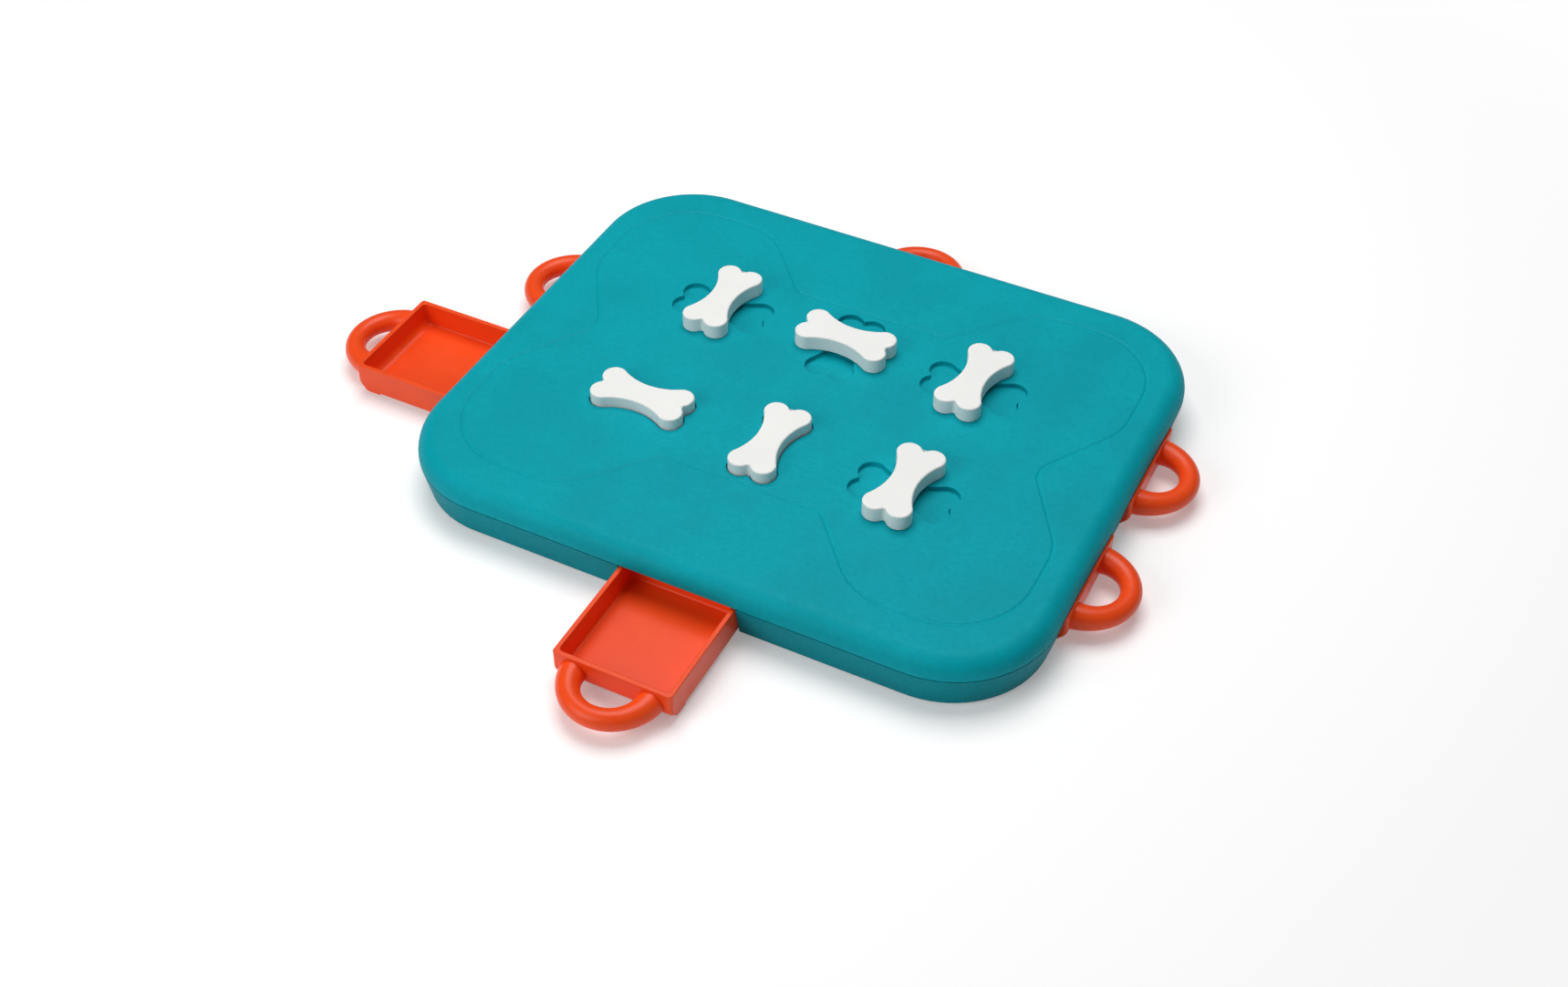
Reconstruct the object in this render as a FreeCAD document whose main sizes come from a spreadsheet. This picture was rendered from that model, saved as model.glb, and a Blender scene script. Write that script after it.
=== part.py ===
import FreeCAD, Part
import Sketcher
import math
import os
import re
from FreeCAD import Placement, Rotation, Vector

# Treat puzzle board: a two-shell board with six pull-out treat drawers,
# each locked by a bone that turns on a stem and drops into a recess.
# Millimetres, +Z up, origin on the table under the centre foot, -Y is the front.

SIZES = {
    "board_width": (324, "outside width at the parting line"),
    "board_depth": (268, "outside depth at the parting line"),
    "board_corner": (51, "plan radius of the board's corners"),
    "board_top": (29.5, "height of the top face over the table"),
    "parting_height": (19, "height of the joint between tray and cover"),
    "parting_gap": (0.3, "shadow line between tray and cover"),
    "edge_round": (9.5, "soft rounding round the cover"),
    "cover_wall": (2.5, "wall of the moulded cover"),
    "tray_wall": (2.5, "wall of the moulded tray"),
    "tray_floor": (2, "floor of the tray"),
    "tray_base": (1, "height of the tray's underside over the table"),
    "tray_draft": (3.5, "how far the tray draws in at its foot"),
    "tray_edge": (1.2, "rounding of the tray's bottom edge"),
    "column_pitch": (69.4, "from the middle to the outer bone columns"),
    "row_pitch": (41.4, "from the middle to the bone rows"),
    "bone_length": (49.5, "length of a bone"),
    "bone_width": (24.2, "width of a bone over its lobes"),
    "bone_lobe": (6.15, "radius of a bone's lobes"),
    "bone_waist": (13.7, "width of a bone's waist"),
    "bone_notch": (1.3, "inside radius between two lobes"),
    "bone_thick": (8.2, "thickness of a bone"),
    "bone_round": (0.9, "rounding of a bone's top edge"),
    "recess_gap": (0.7, "room round a bone in its recess"),
    "recess_deep": (2.5, "depth of the recess and drop of the bone"),
    "seat_gap": (0.1, "room under a bone"),
    "stem_diameter": (7.9, "stem of a bone"),
    "bore_diameter": (8, "bore that the stem turns in"),
    "bush_diameter": (15, "bush round the bore"),
    "bush_end": (22, "height of the bush's lower end"),
    "spigot_wide": (5, "square end of the stem that keys the cam"),
    "cam_length": (18, "length of the lock cam"),
    "cam_width": (5.6, "width of the lock cam's wings"),
    "cam_hub": (9.6, "hub of the lock cam"),
    "cam_thick": (4, "thickness of the lock cam"),
    "drawer_width": (59.5, "outside width of a drawer"),
    "drawer_length": (60, "outside length of a drawer's box"),
    "drawer_wall": (2.4, "wall of a drawer"),
    "drawer_base": (3.4, "height of a drawer's underside"),
    "drawer_floor": (1.9, "floor of a drawer"),
    "rim_height": (18.2, "height of a drawer's rim"),
    "front_step": (0.8, "how much lower the front of a drawer is"),
    "front_length": (12, "length of the lower front part"),
    "front_round": (8.5, "large round under a drawer's front"),
    "front_proud": (1.2, "how far a closed drawer stands out of the board"),
    "drawer_travel": (56, "travel of a drawer"),
    "run_gap": (0.45, "side room between a drawer and its rails"),
    "tongue_length": (46.5, "length of the tongue behind a drawer's box"),
    "tongue_thick": (2, "plate of the tongue"),
    "skirt_high": (7, "height of the tongue's side skirts"),
    "gate_start": (97.3, "from a drawer's face to its lock gate"),
    "gate_length": (4, "length of the gate posts"),
    "gate_slot": (10.4, "slot between the gate posts, which a cam in line passes"),
    "gate_wide": (19.6, "width over the gate posts"),
    "gate_top": (17.5, "height of the gate posts"),
    "lug_inner": (21, "from the middle of a drawer to its stop lugs"),
    "lug_wide": (4, "width of a stop lug"),
    "lug_top": (24.5, "height of the stop lugs"),
    "handle_radius": (20, "radius of the handle loop's centre line"),
    "handle_bar": (9, "diameter of the handle bar"),
    "handle_height": (10.2, "height of the handle's middle"),
    "rail_high": (12, "height of the drawer rails' top"),
    "rail_thick": (1.8, "thickness of the drawer rails"),
    "boss_diameter": (9.4, "screw boss"),
    "boss_seat": (12, "height at which the two bosses meet"),
    "screw_diameter": (2.9, "cover screw"),
    "foot_diameter": (18, "rubber foot"),
    "foot_inset": (0.8, "depth of a foot's seat in the tray"),
    "groove_wide": (3.0, "width of the ornamental groove, across its open side"),
    "groove_deep": (1.0, "depth of the ornamental groove"),
    "groove_lift": (0.25, "height over the top face to which its section runs"),
    "groove_waist": (70.5, "from the middle to the groove's waist"),
    "groove_top": (111, "from the middle to the top of its lobes"),
    "groove_end": (145.5, "from the middle to the ends of its lobes"),
    "groove_flare": (41, "where the waist turns out to a lobe"),
    "groove_shoulder": (75.5, "where that slope meets the top"),
    "groove_heel": (44, "where a lobe's end turns in to the nick"),
    "groove_nick": (118, "where the two slopes at an end would meet"),
    "groove_flare_bend": (9, "radius at the flare"),
    "groove_shoulder_bend": (36, "radius at the shoulder"),
    "groove_end_bend": (39, "radius at the lobe's outer corner"),
    "groove_heel_bend": (34, "radius at the heel"),
    "groove_nick_bend": (12, "radius in the nick"),
}

# Drawers: name, side of the board it leaves by in degrees, row or column, and whether it stands open
DRAWERS = {
    "drawer_front": (0, 0, True),
    "drawer_back": (180, 0, False),
    "drawer_left_front": (-90, -1, True),
    "drawer_left_back": (-90, 1, False),
    "drawer_right_front": (90, -1, False),
    "drawer_right_back": (90, 1, False),
}

# Bones: column, row, turn in degrees and whether it has dropped into its recess
BONES = {
    "left_back": (-1, 1, 90, False),
    "middle_back": (0, 1, 0, False),
    "right_back": (1, 1, 90, False),
    "left_front": (-1, -1, 0, True),
    "middle_front": (0, -1, 90, True),
    "right_front": (1, -1, 90, False),
}

# Places that pieces share, as fractions of the board that hold for any board size
SCREW_PLACES = [(sx * x, sy * y) for x, y in ((0.395, 0.373), (0.173, 0.418)) for sx in (-1, 1) for sy in (-1, 1)]
SCREW_PLACES += [(-0.13, 0), (0.13, 0)]
FOOT_PLACES = {
    "foot_centre": (0, 0),
    "foot_front_left": (-0.407, -0.313),
    "foot_front_right": (0.407, -0.313),
    "foot_back_left": (-0.407, 0.313),
    "foot_back_right": (0.407, 0.313),
}

doc = FreeCAD.newDocument("treat_puzzle")
sheet = doc.addObject("Spreadsheet::Sheet", "Sizes")
for row, (alias, (amount, meaning)) in enumerate(SIZES.items(), start=1):
    sheet.set(f"A{row}", alias)
    sheet.set(f"B{row}", str(amount))
    sheet.setAlias(f"B{row}", alias)
    sheet.set(f"C{row}", meaning)
doc.recompute()


def linked(text):
    """An expression with the sheet's name put before each alias."""
    return re.sub(r"[a-z]+(?:_[a-z]+)+", lambda found: "Sizes." + found.group(0), str(text))


def size(text):
    """The present value of an expression on the sheet."""
    return float(sheet.evalExpression(linked(text)))


def new_body(name):
    body = doc.addObject("PartDesign::Body", name)
    body.Label = name
    return body


class Drawing:
    """A sketch on one of a body's origin planes. Every dimension is an expression on the sheet."""

    def __init__(self, body, name, plane="XY_Plane", level="0", shift=("0", "0"), turn=0):
        self.sketch = body.newObject("Sketcher::SketchObject", name)
        support = next(part for part in body.Origin.OriginFeatures if part.Role == plane)
        self.sketch.AttachmentSupport = [(support, "")]
        self.sketch.MapMode = "FlatFace"
        self.sketch.AttachmentOffset = Placement(Vector(0, 0, 0), Rotation(Vector(0, 0, 1), turn))
        for axis, text in zip("xyz", (*shift, level)):
            self.sketch.setExpression(f"AttachmentOffset.Base.{axis}", linked(text))

    def add(self, *geometry):
        return [self.sketch.addGeometry(item, False) for item in geometry]

    def hold(self, *rule):
        return self.sketch.addConstraint(Sketcher.Constraint(*rule))

    def bind(self, index, text):
        self.sketch.setExpression(f"Constraints[{index}]", linked(text))

    def place(self, geometry, point, axis, text):
        """Hold one coordinate of a point at a distance from the sketch's origin."""
        amount = size(text)
        if abs(amount) < 1e-9:
            self.hold("PointOnObject", geometry, point, -2 if axis == "X" else -1)
        elif amount > 0:
            self.bind(self.hold("Distance" + axis, -1, 1, geometry, point, amount), text)
        else:
            self.bind(self.hold("Distance" + axis, geometry, point, -1, 1, -amount), f"-({text})")

    def outline(self, corners):
        """A closed run of straight lines. A corner is a pair of expressions."""
        points = [Vector(size(x), size(y), 0) for x, y in corners]
        lines = self.add(*[Part.LineSegment(a, b) for a, b in zip(points, points[1:] + points[:1])])
        for line, after in zip(lines, lines[1:] + lines[:1]):
            self.hold("Coincident", line, 2, after, 1)
        for line, (x, y) in zip(lines, corners):
            self.place(line, 1, "X", x)
            self.place(line, 1, "Y", y)

    def rectangle(self, left, right, low, high):
        self.outline([(left, low), (right, low), (right, high), (left, high)])

    def circle(self, x, y, diameter):
        (ring,) = self.add(Part.Circle(Vector(size(x), size(y), 0), Vector(0, 0, 1), size(diameter) / 2))
        self.place(ring, 3, "X", x)
        self.place(ring, 3, "Y", y)
        self.bind(self.hold("Diameter", ring, size(diameter)), diameter)

    def join_run(self, run, radii):
        """Tangent joints along an open run of lines and arcs, with each arc's radius."""
        for one, two in zip(run, run[1:]):
            ends = [(a, b) for a in (1, 2) for b in (1, 2)]
            near_ends = min(ends, key=lambda pair: self.sketch.getPoint(one, pair[0]).distanceToPoint(
                self.sketch.getPoint(two, pair[1])))
            self.hold("Tangent", one, near_ends[0], two, near_ends[1])
        for arc, text in zip(run[1::2], radii):
            self.bind(self.hold("Radius", arc, size(text)), text)

    def rounded(self, left, right, low, high, corner):
        """A rectangle with four equal round corners."""
        a, b, c, d, r = [size(text) for text in (left, right, low, high, corner)]
        centres = [(b - r, c + r, -90), (b - r, d - r, 0), (a + r, d - r, 90), (a + r, c + r, 180)]
        arcs = []
        lines = []
        for x, y, start in centres:
            circle = Part.Circle(Vector(x, y, 0), Vector(0, 0, 1), r)
            arcs += self.add(Part.ArcOfCircle(circle, math.radians(start), math.radians(start + 90)))
        ends = [((a + r, c), (b - r, c)), ((b, c + r), (b, d - r)), ((b - r, d), (a + r, d)), ((a, d - r), (a, c + r))]
        for (x1, y1), (x2, y2) in ends:
            lines += self.add(Part.LineSegment(Vector(x1, y1, 0), Vector(x2, y2, 0)))
        for line, arc, after in zip(lines, arcs, lines[1:] + lines[:1]):
            self.hold("Tangent", line, 2, arc, 1)
            self.hold("Tangent", arc, 2, after, 1)
        for line, axis, text in zip(lines, "YXYX", (low, right, high, left)):
            self.hold("Horizontal" if axis == "Y" else "Vertical", line)
            self.place(line, 1, axis, text)
        for arc in arcs[1:]:
            self.hold("Equal", arcs[0], arc)
        self.bind(self.hold("Radius", arcs[0], r), corner)

    def bone(self, spread="0"):
        """A bone of eight tangent arcs about the sketch's origin, wider by spread all round."""
        lobe = size(f"bone_lobe + {spread}")
        x = size("bone_length / 2 - bone_lobe")
        y = size("bone_width / 2 - bone_lobe")
        waist = size(f"bone_waist / 2 + {spread}")
        notch = size("bone_notch")
        side = (x * x + (waist - y) ** 2 - lobe * lobe) / (2 * (lobe - waist + y))
        top = waist + side
        nick = x + math.sqrt((lobe + notch) ** 2 - y * y)
        up = math.atan2(top - y, -x)
        out = math.atan2(-y, nick - x)

        def arc(cx, cy, radius, start, end):
            circle = Part.Circle(Vector(cx, cy, 0), Vector(0, 0, 1), radius)
            return Part.ArcOfCircle(circle, start, end)

        pi = math.pi
        lean = math.atan2(top - y, x)
        lobes = self.add(
            arc(x, y, lobe, out, up),
            arc(-x, y, lobe, pi - up, pi - out),
            arc(-x, -y, lobe, pi + out, pi + up),
            arc(x, -y, lobe, -up, -out),
        )
        waists = self.add(
            arc(0, top, side, -pi + lean, -lean),
            arc(0, -top, side, lean, pi - lean),
        )
        notches = self.add(
            arc(nick, 0, notch, pi + out, pi - out),
            arc(-nick, 0, notch, out, -out),
        )
        joints = [
            (notches[0], 1, lobes[0], 1), (lobes[0], 2, waists[0], 2),
            (waists[0], 1, lobes[1], 1), (lobes[1], 2, notches[1], 2),
            (notches[1], 1, lobes[2], 1), (lobes[2], 2, waists[1], 2),
            (waists[1], 1, lobes[3], 1), (lobes[3], 2, notches[0], 2),
        ]
        for one, end, two, start in joints:
            self.hold("Tangent", one, end, two, start)
        for group in (lobes, waists, notches):
            for other in group[1:]:
                self.hold("Equal", group[0], other)
        self.hold("Symmetric", lobes[0], 3, lobes[2], 3, -1, 1)
        self.hold("Symmetric", lobes[1], 3, lobes[3], 3, -1, 1)
        self.hold("Horizontal", lobes[0], 3, lobes[1], 3)
        self.place(lobes[0], 3, "X", "bone_length / 2 - bone_lobe")
        self.place(lobes[0], 3, "Y", "bone_width / 2 - bone_lobe")
        self.hold("Vertical", lobes[0], 3, lobes[3], 3)
        self.bind(self.hold("Radius", lobes[0], lobe), f"bone_lobe + {spread}")
        self.bind(self.hold("Radius", notches[0], notch), "bone_notch")
        far = "(bone_length / 2 - bone_lobe)"
        rise = f"(bone_waist / 2 + {spread} - bone_width / 2 + bone_lobe)"
        full = f"(bone_lobe + {spread})"
        radius = f"({far} ^ 2 + {rise} ^ 2 - {full} ^ 2) / (2 * ({full} - {rise}))"
        self.bind(self.hold("Radius", waists[0], side), radius)


def tip_volume(body):
    doc.recompute()
    return body.Shape.Volume


def extrude(body, kind, drawing, length, name, both=False, reverse=False, draft=""):
    """Pad or pocket a drawing, and make sure that it did something."""
    before = tip_volume(body) if body.Tip else 0
    feature = body.newObject(f"PartDesign::{kind}", name)
    feature.Profile = drawing.sketch
    feature.setExpression("Length", linked(length))
    feature.SideType = "Symmetric" if both else "One side"
    feature.Reversed = reverse
    if draft:
        feature.setExpression("TaperAngle", linked(draft))
    change = tip_volume(body) - before
    if (change > 0.01) != (kind == "Pad"):
        raise ValueError(f"{body.Label} {name} changed the volume by {change:.2f}")
    return feature


def round_edges(body, name, radius, test, kind="Fillet"):
    """Round or chamfer the edges that a test picks by their middle point and direction."""
    doc.recompute()
    picked = []
    for index, edge in enumerate(body.Shape.Edges, start=1):
        middle = edge.valueAt((edge.FirstParameter + edge.LastParameter) / 2)
        middle = body.Placement.inverse().multVec(middle)
        if test(middle, edge):
            picked.append(f"Edge{index}")
    if not picked:
        raise ValueError(f"{body.Label} {name} found no edge")
    shape_so_far = body.Tip
    feature = body.newObject(f"PartDesign::{kind}", name)
    feature.Base = (shape_so_far, picked)
    feature.setExpression("Radius" if kind == "Fillet" else "Size", linked(radius))
    doc.recompute()
    return feature


def near(value, text, room=0.02):
    return abs(value - size(text)) < room


def board_outline(body, name, level, inset, corner):
    """The board's plan, drawn in by an inset."""
    drawing = Drawing(body, name, level=level)
    wide = f"board_width / 2 - {inset}"
    deep = f"board_depth / 2 - {inset}"
    drawing.rounded(f"-({wide})", wide, f"-({deep})", deep, corner)
    return drawing


def drawer_frame(name):
    """The placement of a closed drawer: its own -Y is the way out."""
    side, lane, _ = DRAWERS[name]
    reach = size("board_depth / 2 + front_proud") if side in (0, 180) else size("board_width / 2 + front_proud")
    angle = math.radians(side)
    out = Vector(math.sin(angle), -math.cos(angle), 0)
    place = out * reach + Vector(0, lane * size("row_pitch"), 0)
    return Placement(place, Rotation(Vector(0, 0, 1), side)), out


def bay_corners(name, left, right, start, end):
    """A rectangle given in a drawer's own directions, as board coordinates in expressions."""
    side, lane, _ = DRAWERS[name]
    face = "board_depth / 2 + front_proud" if side in (0, 180) else "board_width / 2 + front_proud"
    lane_text = f"({lane} * row_pitch)"
    corners = []
    for across, along in ((left, start), (right, start), (right, end), (left, end)):
        reach = f"({face} - ({along}))"
        if side == 0:
            corners.append((f"{across}", f"-{reach}"))
        elif side == 180:
            corners.append((f"-({across})", reach))
        elif side == 90:
            corners.append((reach, f"({across}) + {lane_text}"))
        else:
            corners.append((f"-{reach}", f"-({across}) + {lane_text}"))
    return corners


def draw_in_bays(body, name, level, rectangles):
    """One sketch with the same rectangles in each of the six drawer bays."""
    drawing = Drawing(body, name, level=level)
    for bay in DRAWERS:
        for left, right, start, end in rectangles:
            drawing.outline(bay_corners(bay, left, right, start, end))
    return drawing


def draw_rounds(body, name, level, diameter, places):
    drawing = Drawing(body, name, level=level)
    for x, y in places:
        drawing.circle(f"{x} * board_width", f"{y} * board_depth", diameter)
    return drawing


def bone_places():
    return [(column, row) for column, row, _, _ in BONES.values()]


def make_tray():
    """The lower shell: a drafted wall, drawer bays with rails, screw bosses and foot seats."""
    body = new_body("base_tray")
    high = "parting_height - parting_gap"
    draft = f"-atan(tray_draft / ({high} - tray_base))"
    outer = board_outline(body, "tray_plan", high, "0", "board_corner")
    extrude(body, "Pad", outer, f"{high} - tray_base", "tray_block", reverse=True, draft=draft)
    round_edges(body, "tray_bottom_edge", "tray_edge", lambda at, edge: near(at.z, "tray_base"))
    inner = board_outline(body, "tray_inner_plan", high, "tray_wall", "board_corner - tray_wall")
    extrude(body, "Pocket", inner, f"{high} - tray_base - tray_floor", "tray_hollow", draft=draft)
    lip = board_outline(body, "lip_plan", "parting_height - 3", "(cover_wall + 0.2)", "board_corner - 2.7")
    wide = "board_width / 2 - cover_wall - 1.5"
    deep = "board_depth / 2 - cover_wall - 1.5"
    lip.rounded(f"-({wide})", wide, f"-({deep})", deep, "board_corner - cover_wall - 1.5")
    extrude(body, "Pad", lip, "4.4", "locating_lip")
    half = "(drawer_width / 2 + run_gap)"
    outside = f"({half} + rail_thick)"
    rails = draw_in_bays(body, "rail_plan", "tray_base + tray_floor - 0.2", [
        (half, outside, "5.4", "drawer_length + tongue_length"),
        (f"-{outside}", f"-{half}", "5.4", "drawer_length + tongue_length"),
    ])
    extrude(body, "Pad", rails, "rail_high - tray_base - tray_floor + 0.2", "drawer_rails")
    mouth = draw_in_bays(body, "mouth_plan", "-1", [(f"-{half}", half, "-4", "front_length + 0.3")])
    extrude(body, "Pocket", mouth, "board_top", "drawer_mouths", reverse=True)
    ribs = Drawing(body, "rib_plan", level="tray_base + tray_floor - 0.2")
    ribs.rectangle("-0.45 * board_width", "0.45 * board_width", "-0.8", "0.8")
    extrude(body, "Pad", ribs, "5", "floor_rib")
    posts = draw_rounds(body, "boss_plan", "tray_base + tray_floor - 0.2", "boss_diameter", SCREW_PLACES)
    extrude(body, "Pad", posts, "boss_seat - tray_base - tray_floor + 0.2", "screw_bosses")
    heads = draw_rounds(body, "head_plan", "0", "screw_diameter + 3.6", SCREW_PLACES)
    extrude(body, "Pocket", heads, "8", "head_wells", reverse=True)
    ways = draw_rounds(body, "way_plan", "0", "screw_diameter + 0.4", SCREW_PLACES)
    extrude(body, "Pocket", ways, "board_top", "screw_ways", reverse=True)
    seats = draw_rounds(body, "seat_plan", "0", "foot_diameter + 0.2", FOOT_PLACES.values())
    extrude(body, "Pocket", seats, "tray_base + foot_inset", "foot_seats", reverse=True)
    return body


def make_cover():
    """The upper shell: soft edge, bone recesses, stem bushes, bosses, ribs and groove."""
    body = new_body("top_cover")
    plan = board_outline(body, "cover_plan", "parting_height", "0", "board_corner")
    extrude(body, "Pad", plan, "board_top - parting_height", "cover_block")
    round_edges(body, "soft_edge", "edge_round", lambda at, edge: near(at.z, "board_top"))
    under = [
        f"Face{index}" for index, face in enumerate(body.Shape.Faces, start=1)
        if near(face.CenterOfMass.z, "parting_height")
    ]
    block = body.Tip
    shell = body.newObject("PartDesign::Thickness", "cover_shell")
    shell.Base = (block, under)
    shell.setExpression("Value", linked("cover_wall"))
    shell.Reversed = True
    doc.recompute()
    for column, row in bone_places():
        shift = (f"{column} * column_pitch", f"{row} * row_pitch")
        turn = 0 if column else 90
        tag = f"{column + 1}{row + 1}"
        pad = Drawing(body, f"pad_plan_{tag}", level="board_top - recess_deep - 2.2", shift=shift, turn=turn)
        pad.bone("(recess_gap + 2)")
        extrude(body, "Pad", pad, "2.2", f"recess_pad_{tag}")
    for column, row in bone_places():
        shift = (f"{column} * column_pitch", f"{row} * row_pitch")
        turn = 0 if column else 90
        tag = f"{column + 1}{row + 1}"
        well = Drawing(body, f"recess_plan_{tag}", level="board_top", shift=shift, turn=turn)
        well.bone("recess_gap")
        extrude(body, "Pocket", well, "recess_deep", f"recess_{tag}")
    bushes = Drawing(body, "bush_plan", level="bush_end")
    bores = Drawing(body, "bore_plan", level="board_top")
    for column, row in bone_places():
        at = (f"{column} * column_pitch", f"{row} * row_pitch")
        bushes.circle(*at, "bush_diameter")
        bores.circle(*at, "bore_diameter")
    extrude(body, "Pad", bushes, "board_top - recess_deep - 2 - bush_end", "stem_bushes")
    extrude(body, "Pocket", bores, "board_top - bush_end + 1", "stem_bores")
    posts = draw_rounds(body, "boss_plan", "boss_seat", "boss_diameter", SCREW_PLACES)
    extrude(body, "Pad", posts, "board_top - cover_wall + 0.3 - boss_seat", "screw_bosses")
    pilots = draw_rounds(body, "pilot_plan", "boss_seat - 1", "screw_diameter + 0.1", SCREW_PLACES)
    extrude(body, "Pocket", pilots, "12", "pilot_holes", reverse=True)
    near_stop = "(drawer_length + tongue_length - lug_wide - drawer_travel - 0.3)"
    lug_outer = "(lug_inner + lug_wide)"
    stops = draw_in_bays(body, "stop_plan", "rim_height + 0.8", [
        ("lug_inner - 0.5", f"{lug_outer} + 0.5", f"{near_stop} - 2.5", near_stop),
        (f"-{lug_outer} - 0.5", "-lug_inner + 0.5", f"{near_stop} - 2.5", near_stop),
    ])
    extrude(body, "Pad", stops, "board_top - cover_wall + 0.3 - rim_height - 0.8", "drawer_stops")
    ribs = Drawing(body, "rib_plan", level="lug_top + 0.9")
    ribs.rectangle("-0.46 * board_width", "0.46 * board_width", "-0.8", "0.8")
    for sign in ("-", ""):
        middle = f"({sign}column_pitch / 2)"
        for low, high in (("1.5", "0.46 * board_depth"), ("-0.46 * board_depth", "-1.5")):
            ribs.rectangle(f"{middle} - 0.8", f"{middle} + 0.8", low, high)
    extrude(body, "Pad", ribs, "board_top - cover_wall + 0.3 - lug_top - 0.9", "cover_ribs")
    cut_groove(body)
    return body


def rounded_run(points, radii):
    """Lines and arcs along a run of corners. The last arc stops at its middle."""
    run = []
    here = points[0]
    for index, radius in enumerate(radii, start=1):
        corner = points[index]
        inward = (points[index - 1] - corner).normalize()
        outward = (points[index + 1] - corner).normalize()
        half = inward.getAngle(outward) / 2
        start = corner + inward * (radius / math.tan(half))
        end = corner + outward * (radius / math.tan(half))
        centre = corner + (inward + outward).normalize() * (radius / math.sin(half))
        if index == len(radii):
            end = centre + (corner - centre).normalize() * radius
        middle = centre + ((start + end) / 2 - centre).normalize() * radius
        run += [Part.LineSegment(here, start), Part.Arc(start, middle, end)]
        here = end
    return run


def cut_groove(body):
    """A shallow sloped groove in the shape of one large bone that frames the six recesses."""
    corners = [
        ("0", "groove_waist"), ("groove_flare", "groove_waist"), ("groove_shoulder", "groove_top"),
        ("groove_end", "groove_top"), ("groove_end", "groove_heel"), ("groove_nick", "0"),
    ]
    radii = ["groove_flare_bend", "groove_shoulder_bend", "groove_end_bend", "groove_heel_bend", "groove_nick_bend"]
    points = [Vector(size(x), size(y), 0) for x, y in corners]
    points.append(Vector(points[-2].x, -points[-2].y, 0))
    path = Drawing(body, "groove_path", level="board_top + groove_lift")
    run = path.add(*rounded_run(points, [size(text) for text in radii]))
    path.join_run(run, radii)
    section = Drawing(body, "groove_section", plane="YZ_Plane")
    low, high = "board_top - groove_deep", "board_top + groove_lift"
    section.outline([
        ("groove_waist - groove_wide / 2", high), ("groove_waist - groove_wide / 5", low),
        ("groove_waist + groove_wide / 5", low), ("groove_waist + groove_wide / 2", high),
    ])
    before = tip_volume(body)
    quarter = body.newObject("PartDesign::SubtractivePipe", "groove_quarter")
    quarter.Profile = section.sketch
    quarter.Spine = (path.sketch, [f"Edge{index + 1}" for index in range(len(run))])
    one_cut = before - tip_volume(body)
    around = body.newObject("PartDesign::MultiTransform", "groove_all_round")
    mirrors = []
    for role in ("YZ_Plane", "XZ_Plane"):
        mirror = doc.addObject("PartDesign::Mirrored", f"mirror_{role[:2].lower()}")
        mirror.MirrorPlane = (next(part for part in body.Origin.OriginFeatures if part.Role == role), [""])
        body.addObject(mirror)
        mirrors.append(mirror)
    around.Originals = [quarter]
    around.Transformations = mirrors
    body.Tip = around
    all_cut = before - tip_volume(body)
    if abs(all_cut - 4 * one_cut) > 0.05 * all_cut:
        raise ValueError(f"the groove's quarters don't meet: {one_cut:.1f} {all_cut:.1f}")


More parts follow.
